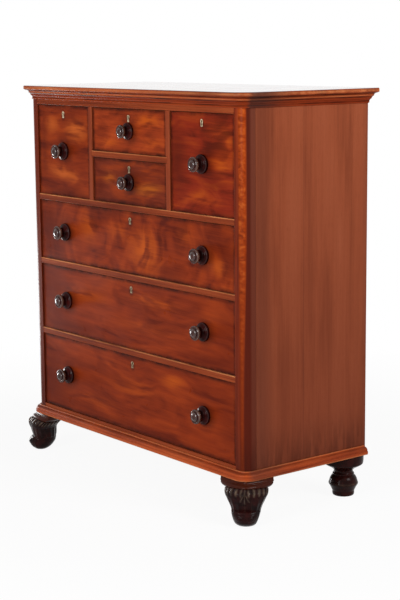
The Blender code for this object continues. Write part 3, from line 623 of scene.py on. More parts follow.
@dataclass(frozen=True)
class Mahogany:
    """Polished straight-grained mahogany."""

    grain: Grain
    dark: Colour
    middle: Colour
    light: Colour
    gloss: float
    highlight_and_wear: Colour = seen(226, 146, 92)
    grime_and_shade: Colour = seen(44, 16, 10)
    dusk: Colour = seen(58, 38, 34)
    streaks: float = 34.0
    stripe: Stripe | None = None
    painted_low_shade: float = 0.0
    shaded: float = 0.0
    contrast: float = 1.0
    roughness: float = 0.36
    coated_above: float | None = None
    texture: float = 1.0
    crests: tuple[Crest, ...] = ()

    def coordinates(self, graph: Graph, along: float, across: float) -> Signal:
        """The coordinates of a pattern that is drawn out along the fibres.

        Args:
            graph: The material's graph.
            along: The pattern's scale along them.
            across: Its scale across them.

        Returns:
            The coordinates.
        """
        if self.grain is not Grain.ROUND:
            return graph.mapped(self.grain.stretch(along, across))
        return graph.joined((abs(graph.x) + graph.y) * along, 0.0, graph.z * across)

    def pores(self, graph: Graph) -> Signal:
        """The open pores, as fine dashes along the fibres."""
        return graph.noise(self.coordinates(graph, 38, 1300), 2, 0.5)

    def colour(self, graph: Graph) -> Signal:
        """The wood's colour, for a material that shows it in part.

        Args:
            graph: The material's graph.

        Returns:
            The colour.
        """
        broad = graph.noise(self.coordinates(graph, 1.1, self.streaks), 4, 0.6, 0.3)
        fine = graph.noise(self.coordinates(graph, 3.2, self.streaks * 9), 3, 0.6)
        tone = broad * 0.55 + fine * 0.25 + graph.noise((4, 4, 3), 2, 0.5) * 0.2
        wide = 0.14 / self.contrast
        wood = graph.ramp(tone, (0.5 - wide, self.dark), (0.5, self.middle), (0.5 + wide, self.light))
        wood = graph.mix(graph.span(self.pores(graph), 0.58, 0.72, 0, 0.35), wood, self.dark)
        if self.stripe:
            wood = self.rounded(graph, wood, self.stripe)
        # Painted shade: the colour darkens evenly towards the floor, most at the plinth's underside.
        if self.painted_low_shade:
            level = graph.span(graph.z, CASE.floor, CASE.floor + CASE.height, self.painted_low_shade, 0.0, soft=False)
            wood = graph.mix(level, wood, self.dark)
        # Painted highlights along arrises, on the rails also wear, and painted shade in hollows and low
        # bands.
        if self.crests:
            patchy = graph.noise(self.coordinates(graph, 9, 60), 3, 0.6)
            for crest in self.crests:
                tint = self.grime_and_shade if crest.hollow else self.highlight_and_wear
                wood = graph.mix(self.crest_share(graph, crest, patchy), wood, tint)
        if self.shaded:
            near = graph.span(self.turn(graph), math.radians(50), math.radians(80))
            behind = graph.span(graph.y, CASE.front + 0.04, CASE.front + 0.2, self.shaded, 0.0)
            wood = graph.mix(near * behind, wood, self.dusk)
        return wood

    def crest_share(self, graph: Graph, crest: Crest, patchy: Signal) -> Signal:
        """How strongly a crest's painted highlight or painted shade shows. Highlights along the front grow
        stronger towards their ends.

        Args:
            graph: The material's graph.
            crest: The arris or the hollow.
            patchy: Noise that breaks it up.

        Returns:
            The share of its colour.
        """
        near = graph.span(abs(graph.z - crest.level), crest.reach, 0.0)
        share = near * graph.span(patchy, 0.34, 0.62, 0.35 * crest.strength, crest.strength)
        if crest.hollow or self.grain is not Grain.ACROSS:
            return share
        return share * graph.span(abs(graph.x), 0.2, 0.45, 0.55, 1.0)

    def turn(self, graph: Graph) -> Signal:
        """How far a place has turned round its front corner, in radians from where the round begins."""
        out = abs(graph.x) - (CASE.half_width - CASE.corner)
        return graph.math("ARCTAN2", out, (CASE.front + CASE.corner) - graph.y)

    def rounded(self, graph: Graph, wood: Value, stripe: Stripe) -> Signal:
        """The painted light and shade that run down the round of a corner post.

        Args:
            graph: The material's graph.
            wood: The wood's colour.
            stripe: The stripe's colours.

        Returns:
            The colour with a painted highlight stripe, a painted shade stripe, a painted sheen on the side
            beyond them, and painted shade on the left post.
        """
        turn = self.turn(graph)
        upper = graph.span(graph.z, CASE.floor + 0.2, CASE.floor + 0.75)
        pairs = (stripe.begins, stripe.ends, stripe.ragged)
        starts, stops, ragged = (graph.span(upper, 0.0, 1.0, *pair, soft=False) for pair in pairs)
        waves = graph.noise(graph.stirred(graph.mapped((44, 44, 74)), 12.0, 1.2), 2, 0.5, 0.7)
        waves = (waves - 0.5) * ragged + 0.5
        # Painted highlight: a fiery stripe over part of the round, with flecks of figure in it, ragged higher
        # up.
        fire = graph.ramp(waves, (0.34, stripe.shade), (0.5, stripe.body), (0.68, stripe.fleck))
        rise = graph.span(turn, starts, starts + stripe.soft[0], 0.0, stripe.strength)
        fall = graph.span(turn, stops - stripe.soft[1], stops, 1.0, 0.0)
        wood = graph.mix(rise * fall, wood, fire)
        # Painted shade: a dark stripe where the fiery one ends.
        wood = graph.mix(graph.span(turn, stops - 0.2, stops, 0.0, stripe.strength), wood, stripe.dusk)
        # Painted sheen: a dull tone where the round meets the side.
        beside = graph.span(turn, math.radians(72), math.radians(92), 0.0, 0.85)
        wood = graph.mix(beside, wood, stripe.dull)
        # Painted shade: the left post is darker.
        return graph.mix(graph.span(graph.x, 0.0, -0.1, 0.0, 0.6), wood, self.dark)

    def shine(self, graph: Graph) -> tuple[Signal, Signal]:
        """The roughness and the normal of the polish.

        Args:
            graph: The material's graph.

        Returns:
            The roughness and the normal.
        """
        smear = graph.noise((11, 11, 11), 4, 0.6)
        rough = graph.span(smear, 0.3, 0.75, self.roughness - 0.07, self.roughness + 0.1)
        waved = graph.bump(graph.noise((12, 12, 12), 2, 0.5), 0.1 * self.texture, 0.0006)
        return rough, graph.bump(self.pores(graph), 0.12 * self.texture, 0.0002, waved)

    def make(self, name: str) -> Material:
        """The material.

        Args:
            name: Its name.

        Returns:
            The material.
        """
        graph = Graph(name)
        rough, normal = self.shine(graph)
        coat = 0.0
        if self.coated_above is not None:
            coat = graph.span(graph.z, self.coated_above - 0.001, self.coated_above, soft=False)
        return graph.end(self.colour(graph), rough, Normal=normal, Specular_IOR_Level=self.gloss,
                         Coat_Weight=coat, Coat_Roughness=0.06, Coat_IOR=1.8)


@dataclass(frozen=True)
class FacedPine:
    """Pine with a strip of polished mahogany along its front edge."""

    facing: Mahogany
    core: Pine
    thickness: float = 0.009

    def make(self, name: str) -> Material:
        """The material.

        Args:
            name: Its name.

        Returns:
            The material.
        """
        graph = Graph(name)
        seam = CASE.front + self.thickness
        inner = graph.span(graph.y, seam, seam + 0.0004, soft=False)
        rough, normal = self.facing.shine(graph)
        wood = graph.mix(inner, self.facing.colour(graph), self.core.colour(graph))
        return graph.end(wood, rough + inner * 0.35, Normal=normal, Specular_IOR_Level=self.facing.gloss)


@dataclass(frozen=True)
class LinedMahogany:
    """A side panel: polished outside with darker bands down it, bare and dusty inside.

    Each band is given by its middle behind the rails' face, its reach and its strength.
    """

    wood: Mahogany
    bands: tuple[Triple, ...] = ((0.062, 0.06, 0.5), (0.225, 0.0016, 0.6), (0.478, 0.02, 0.3))
    band: Colour = seen(88, 44, 32)
    bare: Colour = seen(120, 82, 56)

    def make(self, name: str) -> Material:
        """The material.

        Args:
            name: Its name.

        Returns:
            The material.
        """
        graph = Graph(name)
        outside = CASE.half_width - 0.0015
        inner = graph.span(abs(graph.x), outside, outside - 0.0005, soft=False)
        rough, normal = self.wood.shine(graph)
        wood = self.wood.colour(graph)
        # The broad band just behind the post is a painted reflection, a darker haze; the other two are darker
        # lines down the panel.
        for middle, reach, strength in self.bands:
            away = abs(graph.y - CASE.front - middle)
            wood = graph.mix(graph.span(away, reach, 0.0, 0.0, strength), wood, self.band)
        wood = graph.mix(inner, wood, graph.mix(0.65, wood, self.bare))
        return graph.end(wood, rough + inner * 0.35, Normal=normal, Specular_IOR_Level=self.wood.gloss)


class Figure(Enum):
    """The kinds of figure in the veneers, as scales of the pattern along x and z."""

    FLAME = (12.0, 9.5)
    STREAKED = (7.0, 19.0)
    PLAIN = (3.6, 21.0)


@dataclass(frozen=True)
class Patch:
    """An oval patch in a veneer, its middle measured from the middle of the drawer front."""

    x: float
    z: float
    wide: float
    tall: float
    strength: float = 1.0
    turn: float = 0.0


@dataclass(frozen=True)
class Veneer:
    """Figured mahogany veneer on a drawer front: grimy along its edges and round its keyhole and knobs, with
    a painted shadow by each knob and painted shade inside the keyhole.
    """

    figure: Figure
    glows: tuple[Patch, ...]
    shades: tuple[Patch, ...]
    ground: Colour = seen(126, 44, 16)
    deep: Colour = seen(84, 24, 10)
    warm: Colour = seen(150, 58, 20)
    flame: Colour = seen(184, 82, 22)
    grime_and_shade: Colour = seen(40, 13, 7)
    core: Pine = Pine(Grain.ACROSS)
    leaf: float = 0.0012
    rim: float = 0.016
    knob_shadow_and_grime: Point = (0.062, 0.056)

    def patches(self, graph: Graph, patches: Sequence[Patch], middle: Vector) -> Value:
        """The sum of some patches.

        Args:
            graph: The material's graph.
            patches: The patches.
            middle: The middle of the drawer front.

        Returns:
            Their sum, from 0 to 1.
        """
        total: Value = 0.0
        for patch in patches:
            oval = graph.oval(middle.x + patch.x, middle.z + patch.z, patch.wide, patch.tall, patch.turn)
            total = graph.math("ADD", total, oval * patch.strength, clamp=True)
        return total

    def dirt_and_shadow(self, graph: Graph, low: Vector, high: Vector, knobs: Sequence[Point], key: Point) -> Signal:
        """Where the veneer darkens: grimy along the rim and round the keyhole, grimy with a painted shadow
        round each knob.

        Args:
            graph: The material's graph.
            low: The front's lowest corner.
            high: Its highest corner.
            knobs: The middles of the knobs, as (x, z).
            key: The middle of the keyhole, as (x, z).

        Returns:
            How strongly it darkens, from 0 to 1.
        """
        sides = graph.math("MINIMUM", graph.x - low.x, high.x - graph.x)
        ends = graph.math("MINIMUM", graph.z - low.z, high.z - graph.z)
        edge = graph.span(graph.math("MINIMUM", sides, ends), self.rim, 0.0)
        dirt_and_shadow = edge * graph.span(graph.noise((24, 24, 24), 4, 0.6), 0.3, 0.7, 0.35, 0.95)
        # Painted shadow of each knob, with grime, in an oval set off to the right and down.
        for x, z in knobs:
            dirt_and_shadow = graph.math("MAXIMUM", dirt_and_shadow, graph.oval(x + 0.008, z - 0.004, *self.knob_shadow_and_grime) * 0.85)
        return graph.math("MAXIMUM", dirt_and_shadow, graph.oval(key[0], key[1] - 0.004, 0.02, 0.024) * 0.75)

    def make(self, name: str, low: Vector, high: Vector, knobs: Sequence[Point], key: Point) -> Material:
        """The material of one drawer front.

        Args:
            name: Its name.
            low: The front's lowest corner.
            high: Its highest corner.
            knobs: The middles of the knobs, as (x, z).
            key: The middle of the keyhole, as (x, z).

        Returns:
            The material.
        """
        graph = Graph(name)
        middle = (low + high) / 2
        across, up = self.figure.value
        shift = (middle.x * 0.37, 0, middle.z * 1.91)
        figure = graph.noise(graph.stirred(graph.mapped((across, 1, up), shift), 5.0, 1.3), 2, 0.5, 0.9)
        grain = graph.noise(graph.stirred(graph.mapped((5, 1, 95), shift, 2.0), 3.0, 1.6), 3, 0.6)
        fine = graph.noise(graph.stirred(graph.mapped((16, 1, 430), shift, 2.0), 3.0, 1.6), 2, 0.5)
        tone = figure * 0.62 + grain * 0.26 + fine * 0.12
        wide = 0.21 if self.figure is Figure.PLAIN else 0.16
        wood = graph.ramp(tone, (0.5 - wide, self.deep), (0.5, self.ground), (0.5 + wide, self.warm))
        lit = self.patches(graph, self.glows, middle) * graph.span(tone, 0.4, 0.6, 0.1, 0.8)
        wood = graph.mix(lit, wood, self.flame)
        wood = graph.mix(self.patches(graph, self.shades, middle) * 0.8, wood, self.deep)
        pores = graph.noise((55, 1, 1500), 2, 0.5)
        wood = graph.mix(graph.span(pores, 0.58, 0.72, 0, 0.28), wood, self.deep)
        wood = graph.mix(self.dirt_and_shadow(graph, low, high, knobs, key), wood, self.grime_and_shade)
        inner = graph.span(graph.y, low.y + self.leaf, low.y + self.leaf + 0.0002, soft=False)
        # Painted shade inside the keyhole: the pine behind the veneer turns dark round it.
        keyhole_shade = graph.span(graph.oval(key[0], key[1] - 0.004, 0.016, 0.02), 0.0, 0.3)
        wood = graph.mix(inner, wood, graph.mix(keyhole_shade, self.core.colour(graph), self.grime_and_shade))
        rough = graph.span(graph.noise((9, 9, 13), 4, 0.6), 0.3, 0.75, 0.27, 0.42)
        waved = graph.bump(graph.noise((10, 10, 18), 2, 0.5), 0.15, 0.0008)
        normal = graph.bump(pores, 0.1, 0.0002, waved)
        return graph.end(wood, rough + inner * 0.3, Normal=normal, Specular_IOR_Level=0.025)


@dataclass(frozen=True)
class DarkGloss:
    """Ebonised wood, black-brown, taken back to red-brown where hands and dusters reach, and painted paler on
    raised places for rubbing and painted highlight.
    """

    black: Colour
    brown: Colour
    wear_and_highlight: Colour = seen(140, 120, 100)
    red: Colour = seen(62, 24, 12)
    wear_and_highlight_strength: float = 0.6
    roughness: float = 0.09
    gloss: float = 0.04
    shine: float = 0.5

    def make(self, name: str) -> Material:
        """The material.

        Args:
            name: Its name.

        Returns:
            The material.
        """
        graph = Graph(name)
        wear_and_highlight_mark, redness, polish = (graph.carried(mark) for mark in ("wear_and_highlight_mark", "redness", "polish"))
        cloud = graph.noise((38, 38, 38), 4, 0.6)
        fibres = graph.noise((160, 160, 22), 3, 0.6)
        wood = graph.mix(graph.span(cloud, 0.35, 0.7, 0.05, 0.75), self.black, self.brown)
        wood = graph.mix(redness * graph.span(fibres, 0.25, 0.6, 0.7, 1.0), wood, self.red)
        # Raised places painted paler: wear together with painted highlight.
        highlight_and_wear = wear_and_highlight_mark * graph.span(cloud, 0.35, 0.65, 0.3, 1.0)
        wood = graph.mix(highlight_and_wear * self.wear_and_highlight_strength, wood, self.wear_and_highlight)
        rough = graph.span(cloud, 0.3, 0.75, self.roughness, self.roughness + 0.12)
        return graph.end(wood, rough, Normal=graph.bump(fibres, 0.12, 0.0003), Specular_IOR_Level=self.gloss,
                         Coat_Weight=polish * self.shine, Coat_Roughness=0.07, Coat_IOR=1.5)


@dataclass(frozen=True)
class AgedBrass:
    """Brass gone dull in its hollows, and darker lower down the chest."""

    bright: Colour = seen(236, 216, 180)
    dull: Colour = seen(150, 124, 88)
    lower_tone: Colour = seen(104, 82, 52)

    def make(self, name: str) -> Material:
        """The material.

        Args:
            name: Its name.

        Returns:
            The material.
        """
        graph = Graph(name)
        cloud = graph.noise((140, 140, 140), 4, 0.65)
        colour = graph.ramp(cloud, (0.35, self.dull), (0.62, self.bright))
        # Darker lower down the chest.
        colour = graph.mix(graph.span(graph.z, 1.0, 1.14, 0.6, 0.0), colour, self.lower_tone)
        rough = graph.span(cloud, 0.3, 0.7, 0.5, 0.28)
        scratches = graph.bump(graph.noise((900, 900, 240), 2, 0.5), 0.2, 0.0001)
        return graph.end(colour, rough, Normal=scratches, Metallic=0.5)


# Pieces


@dataclass
class Joinery:
    """Dresses the nodes that keep their shape: a copy of each with its arrises rubbed round."""

    nodes: dict[str, bpy.types.Object]
    bodies: dict[str, list[str]]
    sharp: float = 50
    shortest: float = 0.012

    def soften(self, node: str, finish: Material, width: float = 0.0008) -> None:
        """Puts a copy with rounded arrises in a node's place.

        Args:
            node: The node.
            finish: The copy's material.
            width: How far the rounding reaches.
        """
        bm = bmesh.new()
        bm.from_mesh(self.nodes[node].data)
        bmesh.ops.remove_doubles(bm, verts=bm.verts, dist=LEVEL)
        bmesh.ops.dissolve_limit(bm, angle_limit=math.radians(0.5), verts=bm.verts, edges=bm.edges)
        rounded_edges(bm, width, 2, self.sharp, self.shortest)
        body = next(body for body, members in self.bodies.items() if node in members)
        put(f"{node}_dressed", bm, finish, body, [node], self.sharp, True)


@dataclass
class TopAssembly:
    """The top board with its rounded lip, and the cornice moulding under it."""

    thickness: float = 0.013
    cornice_height: float = 0.0318
    rake: float = 0.013
    lower_round: float = 0.003
    upper_round: float = 0.0045

    def board(self) -> BMesh:
        """The top board.

        Returns:
            Its mesh.
        """
        half = CASE.half_width + CASE.overhang
        back = CASE.depth + CASE.back_overhang
        under = CASE.height + CASE.gap
        bm = bmesh.new()
        corners = [(-half, -CASE.overhang), (half, -CASE.overhang), (half, back), (-half, back)]
        verts = [bm.verts.new(CASE.at(x, y, under)) for x, y in corners]
        bm.faces.new(verts)
        bevelled(bm, verts[:2], CASE.corner + CASE.overhang, 28, affect="VERTICES")
        pushed(bm, list(bm.faces), Vector((0, 0, self.thickness)))
        rear = CASE.front + back
        level_edges = (e for e in bm.edges if abs(e.verts[0].co.z - e.verts[1].co.z) < MERGED)
        rims = [e for e in level_edges if min(v.co.y for v in e.verts) < rear - LEVEL]
        for level, width, segments in (
            (under, self.lower_round, 5),
            (under + self.thickness, self.upper_round, 8),
        ):
            edges = [e for e in rims if e.is_valid and abs(e.verts[0].co.z - CASE.floor - level) < LEVEL]
            bevelled(bm, edges, width, segments)
        return bm

    def cornice(self) -> BMesh:
        """Bead, cove, fillet and cavetto, run round the case.

        Returns:
            The moulding's mesh.
        """
        top = CASE.height
        low = top - self.cornice_height
        bead = arc((0.0022, low + 0.0022), 0.0022, -60, 80, 8)
        cove = arc((0.0105, low + 0.0055), 0.0080, 180, 105, 12)
        fillet = [(0.0085, -0.0160), (0.0100, -0.0133), (0.0118, -0.0112), (0.0150, -0.0102),
                  (0.0150, -0.0068)]
        cavetto = [fillet[-1], (0.0162, -0.0044), (0.0190, -0.0026), (0.0228, -0.0014), (0.0268, -0.0011)]
        upper = [(out, top + drop) for out, drop in [*fillet, *eased(cavetto)[1:]]]
        profile = [(CASE.gap, low), *bead, *cove, *upper, (0.0270, top), (CASE.gap, top)]
        bm = run_round(profile, CASE.depth, self.rake)
        rounded_edges(bm, 0.0004, 2, 50, 0.0005)
        return bm

    def build(self, board: Material, moulding: Material) -> None:
        """Makes both pieces, each in its finish."""
        put("top_board_polished", self.board(), board, "carcase", ["top_board"], 40, True)
        put("cornice_run", self.cornice(), moulding, "carcase", ["cornice_moulding"], 30)


@dataclass
class Plinth:
    """The moulding round the foot of the carcase."""

    height: float = 0.0265
    projection: float = 0.0195
    end: float = 0.006

    def build(self, finish: Material) -> None:
        """Makes the moulding.

        Args:
            finish: Its material.
        """
        reach = self.projection
        toe = arc((reach - 0.0030, 0.0030), 0.0030, -60, 0, 5)
        step = [(reach, 0.0095), (reach - 0.0004, 0.0104), (reach - 0.0012, 0.0112)]
        ovolo = arc((reach - 0.0130, self.height - 0.0140), 0.0105, 0, 90, 14)
        upper = [(reach - 0.0145, self.height), (CASE.gap, self.height)]
        profile = [(CASE.gap, 0.0), (reach - 0.0020, 0.0), *toe, *step, *ovolo, *upper]
        bm = run_round(profile, CASE.depth - self.end)
        put("plinth_run", bm, finish, "carcase", ["plinth_moulding"], 30)


@dataclass
class Knob:
    """A turned knob: a rose, a neck, and a head with a ring, a groove and a button."""

    node: str
    body: str
    scale: float = 1.0
    length: float = 0.043
    radius: float = 0.029
    segments: int = 56
    highlight_and_wear_rings: Point = (0.76, 0.55)
    ring_reach: float = 0.05

    def profile(self) -> list[Point]:
        """The turned line from the drawer's face to the middle of the button.

        Returns:
            Points of (radius, height), as shares of the knob's own.
        """
        rose = [(0.0, 0.0), (0.95, 0.0), (0.95, 0.0), (0.985, 0.025), (1.0, 0.09), (0.985, 0.155),
                (0.94, 0.205), (0.94, 0.205), (0.90, 0.212), (0.90, 0.212), (0.83, 0.262), (0.70, 0.305)]
        neck = [(0.60, 0.345), (0.56, 0.40), (0.54, 0.47), (0.56, 0.54), (0.62, 0.60)]
        head = [(0.705, 0.635), (0.76, 0.675), (0.78, 0.73), (0.775, 0.80), (0.74, 0.855), (0.69, 0.885),
                (0.63, 0.89), (0.575, 0.866), (0.575, 0.866), (0.535, 0.838), (0.50, 0.842), (0.50, 0.842)]
        button = [(0.49, 0.88), (0.44, 0.935), (0.33, 0.978), (0.17, 0.996), (0.0, 1.0)]
        return eased([*rose, *neck, *head, *button])

    def polish(self, share: float, depth: float) -> float:
        """How brightly a place on the knob shines.

        Args:
            share: How far it is from the axis, as a share of the radius.
            depth: How far it stands out, as a share of the length.

        Returns:
            1 on the curved parts of the head, and less elsewhere.
        """
        if 0.26 < share < 0.49 and depth > 0.9 or share > 0.68 and depth > 0.6:
            return 1.0
        if share > 0.92 and depth > 0.03:
            return 0.35
        return 0.25 if depth > 0.55 else 0.0

    def build(self, finish: Material) -> None:
        """Makes the knob where its node is.

        Args:
            finish: Its material.
        """
        radius, length = self.radius * self.scale, self.length * self.scale
        bm = spun([(radius * r, -length * h) for r, h in self.profile()], self.segments, "Y")
        wear_and_highlight_mark, redness, polish = marks(bm, "wear_and_highlight_mark", "redness", "polish")
        for vert in bm.verts:
            share = math.hypot(vert.co.x, vert.co.z) / radius
            depth = -vert.co.y / length
            # The head's two rings, and faintly its button, are painted paler: wear together with painted
            # highlight.
            rings = max(ridge(share, ring, self.ring_reach) for ring in self.highlight_and_wear_rings)
            vert[wear_and_highlight_mark] = max(0.42 * rings, 0.04 if share < 0.44 else 0.0) if depth > 0.7 else 0.0
            # The head is redder where hands rub it; the rose and the neck stay near black, partly as painted
            # shade behind the head.
            vert[redness] = 0.4 if depth > 0.5 else 0.05
            vert[polish] = self.polish(share, depth)
        x, z = middle_of(self.node)
        placed(bm, bm.verts, (x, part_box(self.node)[0].y + length, z))
        put(f"{self.node}_turned", bm, finish, self.body, [self.node], 50)


@dataclass
class Escutcheon:
    """A keyhole-shaped band of brass let into a drawer front, its arrises filed round."""

    drawer: str
    wall: float = 0.0026
    radius: float = 0.0062
    skirt: float = 0.0048
    height: float = 0.0215
    waist: float = 0.62

    def outline(self, inset: float) -> list[Point]:
        """The keyhole shape, drawn in by an inset, round the middle of its head.

        Args:
            inset: How far it is drawn in.

        Returns:
            Points of (x, z).
        """
        radius = self.radius - inset
        foot = self.radius - self.height + inset
        side = [(self.skirt - inset, foot), (self.waist * radius, foot / 2)]
        return [*side, *arc((0.0, 0.0), radius, -52, 232, 28), *[(-x, z) for x, z in reversed(side)]]

    def build(self, finish: Material) -> None:
        """Makes the band where its node is.

        Args:
            finish: Its material.
        """
        node = f"escutcheon_{self.drawer}"
        low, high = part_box(node)
        x, z = (low.x + high.x) / 2, high.z - self.radius
        bm = bmesh.new()
        loops = []
        for inset in (0.0, self.wall):
            verts = [bm.verts.new((x + a, low.y, z + b)) for a, b in self.outline(inset)]
            loops += [bm.edges.new((verts[i - 1], verts[i])) for i in range(len(verts))]
        band = faces_of(bmesh.ops.bridge_loops(bm, edges=loops)["faces"])
        pushed(bm, band, Vector((0, high.y - low.y, 0)))
        rounded_edges(bm, 0.0005, 3, 60)
        put(f"{node}_filed", bm, finish, f"drawer_{self.drawer}", [node], 60)


@dataclass
class Lock:
    """A drawer lock: case, selvedge plate, back plate and screws."""

    drawer: str
    screw: float = 0.0024
    plate: float = 0.0018
    case_depth: float = 0.0095
    screw_spread: float = 0.0235
    sunk: float = 0.0004

    def slab(self, bm: BMesh, low: Vector, high: Vector, width: float = 0.0004) -> None:
        """Adds a block with rounded edges.

        Args:
            bm: The mesh that it is added to.
            low: Its lowest corner.
            high: Its highest corner.
            width: How far the rounding reaches.
        """
        made = bmesh.ops.create_cube(bm, size=1.0)["verts"]
        bmesh.ops.scale(bm, verts=made, vec=high - low)
        placed(bm, made, (low + high) / 2)
        bevelled(bm, list({e for v in made for e in v.link_edges}), width, 2, clamp_overlap=True)

    def head(self, bm: BMesh, where: Sequence[float], facing: Sequence[float]) -> None:
        """Adds a domed screw head.

        Args:
            bm: The mesh that it is added to.
            where: The middle of its seat.
            facing: The direction it faces.
        """
        made = bmesh.ops.create_uvsphere(bm, u_segments=16, v_segments=8, radius=self.screw)["verts"]
        bmesh.ops.scale(bm, verts=made, vec=(1, 1, 0.3))
        placed(bm, made, where, Vector((0, 0, 1)).rotation_difference(Vector(facing)).to_matrix())

    def build(self, finish: Material) -> None:
        """Makes the lock where its node is.

        Args:
            finish: Its material.
        """
        node = f"lock_{self.drawer}"
        low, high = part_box(node)
        bm = bmesh.new()
        under, before = high.z - self.plate, high.y - self.plate
        self.slab(bm, Vector((low.x, low.y, under)), high.copy(), 0.0003)
        self.slab(bm, Vector((low.x, before, low.z)), Vector((high.x, high.y, under)))
        inner = Vector((low.x + 0.006, high.y - self.case_depth, low.z + 0.005))
        self.slab(bm, inner, Vector((high.x - 0.006, before, under)))
        for side in (-1, 1):
            x = (low.x + high.x) / 2 + side * self.screw_spread
            self.head(bm, (x, (low.y + high.y) / 2, high.z - self.sunk), (0, 0, 1))
            for z in (low.z + 0.006, high.z - 0.011):
                self.head(bm, (x, high.y - self.sunk, z), (0, 1, 0))
        for vert in bm.verts:
            vert.co.y = min(vert.co.y, high.y)
            vert.co.z = min(vert.co.z, high.z)
        put(f"{node}_fitted", bm, finish, f"drawer_{self.drawer}", [node], 40)


@dataclass
class ScrollFoot:
    """A carved front foot set cornerwise: cap, leaf collar, fluted shank and rolled toe.

    Places on it are given by the share of the height, from the cap down, and by the turn from the front, in
    radians. How deep it is carved is in metres. Each of its levels gives the share of the height, and then
    how far the front, the widest line and the back lie out, and how wide it is, as shares of half the cap's
    width. The last number is the fullness: about 1 for the square cap, 2 for an oval.
    """

    side: int
    node: str
    height: float = CASE.floor - CASE.gap
    half_width: float = 0.0782
    rows: int = 150
    around: int = 192
    cap: float = 0.205
    cap_swell: float = 0.0050
    cap_groove: float = 0.095
    groove_reach: float = 0.012
    leaves: int = 12
    leaf_length: float = 0.1
    leaf_tip: float = 0.035
    fan_top: float = 0.235
    fan_length: float = 0.034
    fan_width: float = 1.1
    fan_ribs: float = 5.5
    shank: Point = (0.37, 0.70)
    shank_radius: float = 0.052
    flutes: int = 8
    flute_depth: float = 0.0017
    toe: Point = (1.45, 0.66)
    toe_groove: float = 0.695
    curl: Point = (0.42, 0.79)
    curl_reach: Point = (0.36, 0.085)
    wing: float = 1.22
    levels: tuple[tuple[float, ...], ...] = (
        (0.000, 0.064, -0.675, -1.592, 1.000, 1.15),
        (0.061, 0.070, -0.650, -1.503, 0.987, 1.15),
        (0.114, 0.127, -0.599, -1.338, 0.936, 1.20),
        (0.167, 0.210, -0.535, -1.172, 0.873, 1.30),
        (0.205, 0.274, -0.484, -1.070, 0.815, 1.40),
        (0.280, 0.382, -0.357, -0.930, 0.815, 1.60),
        (0.337, 0.408, -0.280, -0.854, 0.803, 1.60),
        (0.394, 0.382, -0.229, -0.803, 0.752, 1.70),
        (0.470, 0.346, -0.217, -0.783, 0.694, 1.90),
        (0.553, 0.298, -0.242, -0.777, 0.624, 2.10),
        (0.640, 0.242, -0.255, -0.762, 0.573, 2.30),
        (0.667, 0.334, -0.204, -0.752, 0.561, 2.20),
        (0.712, 0.395, -0.178, -0.739, 0.548, 2.20),
        (0.773, 0.436, -0.153, -0.720, 0.522, 2.20),
        (0.833, 0.431, -0.127, -0.662, 0.490, 2.20),
        (0.902, 0.382, -0.115, -0.573, 0.446, 2.20),
        (0.951, 0.312, -0.102, -0.484, 0.401, 2.20),
        (1.000, 0.191, -0.089, -0.357, 0.318, 2.00),
    )

    def level(self, depth: float) -> tuple[float, ...]:
        """The outline's measures at one depth.

        Args:
            depth: The share of the foot's height, from the cap down.

        Returns:
            How far the front, the widest line and the back lie out, the half width and the fullness.
        """
        for one, two in zip(self.levels, self.levels[1:]):
            if depth <= two[0]:
                share = (depth - one[0]) / (two[0] - one[0])
                return tuple(a + (b - a) * share for a, b in zip(one[1:], two[1:]))
        return self.levels[-1][1:]

    def collar(self, depth: float, angle: float) -> tuple[float, float]:
        """The moulded cap and the collar of leaves under it.

        Args:
            depth: The share of the foot's height.
            angle: The turn from the front, in radians.

        Returns:
            How far the surface is raised, in metres, and how much it is painted paler, for rubbing and
            painted highlight.
        """
        raised = -0.0022 * ridge(depth, self.cap + 0.003, self.groove_reach)
        if depth < self.cap:
            swell = math.sin(math.pi * (depth / self.cap) ** 1.7)
            raised += self.cap_swell * swell - 0.0014 * ridge(depth, self.cap_groove, self.groove_reach)
        lobe = abs(math.cos(self.leaves * angle))
        hem = self.cap + self.leaf_length + self.leaf_tip * lobe
        if not self.cap < depth < hem:
            return raised, 0.0
        crown = math.sin(math.pi * (0.12 + 0.83 * (depth - self.cap) / (hem - self.cap)))
        # The tops of the leaves are painted paler: wear together with painted highlight.
        return raised + (0.0028 * lobe**0.7 - 0.0016) * crown, lobe**4 * crown

    def fan(self, depth: float, angle: float) -> tuple[float, float] | None:
        """The fan-shaped leaf on the front of the shank.

        Args:
            depth: The share of the foot's height.
            angle: The turn from the front, in radians.

        Returns:
            How far it is raised and how much it is painted paler, for rubbing and painted highlight, or
            nothing beside it.
        """
        across, down = angle * self.shank_radius, (depth - self.fan_top) * self.height
        spread = math.hypot(across, down)
        fan = math.atan2(abs(across), down)
        if down <= 0 or spread >= self.fan_length or abs(angle) >= 1.0 or fan >= self.fan_width:
            return None
        rib = abs(math.sin(self.fan_ribs * fan))
        tip = self.fan_length - 0.012 * (fan / self.fan_width) ** 2 - 0.004 * rib
        if spread >= tip:
            return None
        vein = 1 - rib
        swell = math.sin(math.pi * min(1.0, 0.25 + 0.72 * spread / tip))
        # Its veins are painted paler: wear together with painted highlight.
        return (0.0020 + 0.0030 * vein) * swell, vein**2 * swell

    def carving(self, depth: float, angle: float) -> tuple[float, float]:
        """The carving: how far it is raised, and where it is painted paler for rubbing and highlight.

        Args:
            depth: The share of the foot's height.
            angle: The turn from the front, in radians.

        Returns:
            How far the surface is raised, in metres, and how much it is painted paler, for rubbing and
            painted highlight.
        """
        raised, wear_and_highlight = self.collar(depth, angle)
        turn = abs(angle)
        leaf = self.fan(depth, angle)
        if leaf:
            return raised + leaf[0], min(max(wear_and_highlight, leaf[1]), 1.0)
        start, end = self.shank
        if start < depth < end:
            ends = math.sin(math.pi * (depth - start) / (end - start)) ** 0.5
            flute = abs(math.sin(self.flutes * angle))
            raised -= self.flute_depth * ends * flute
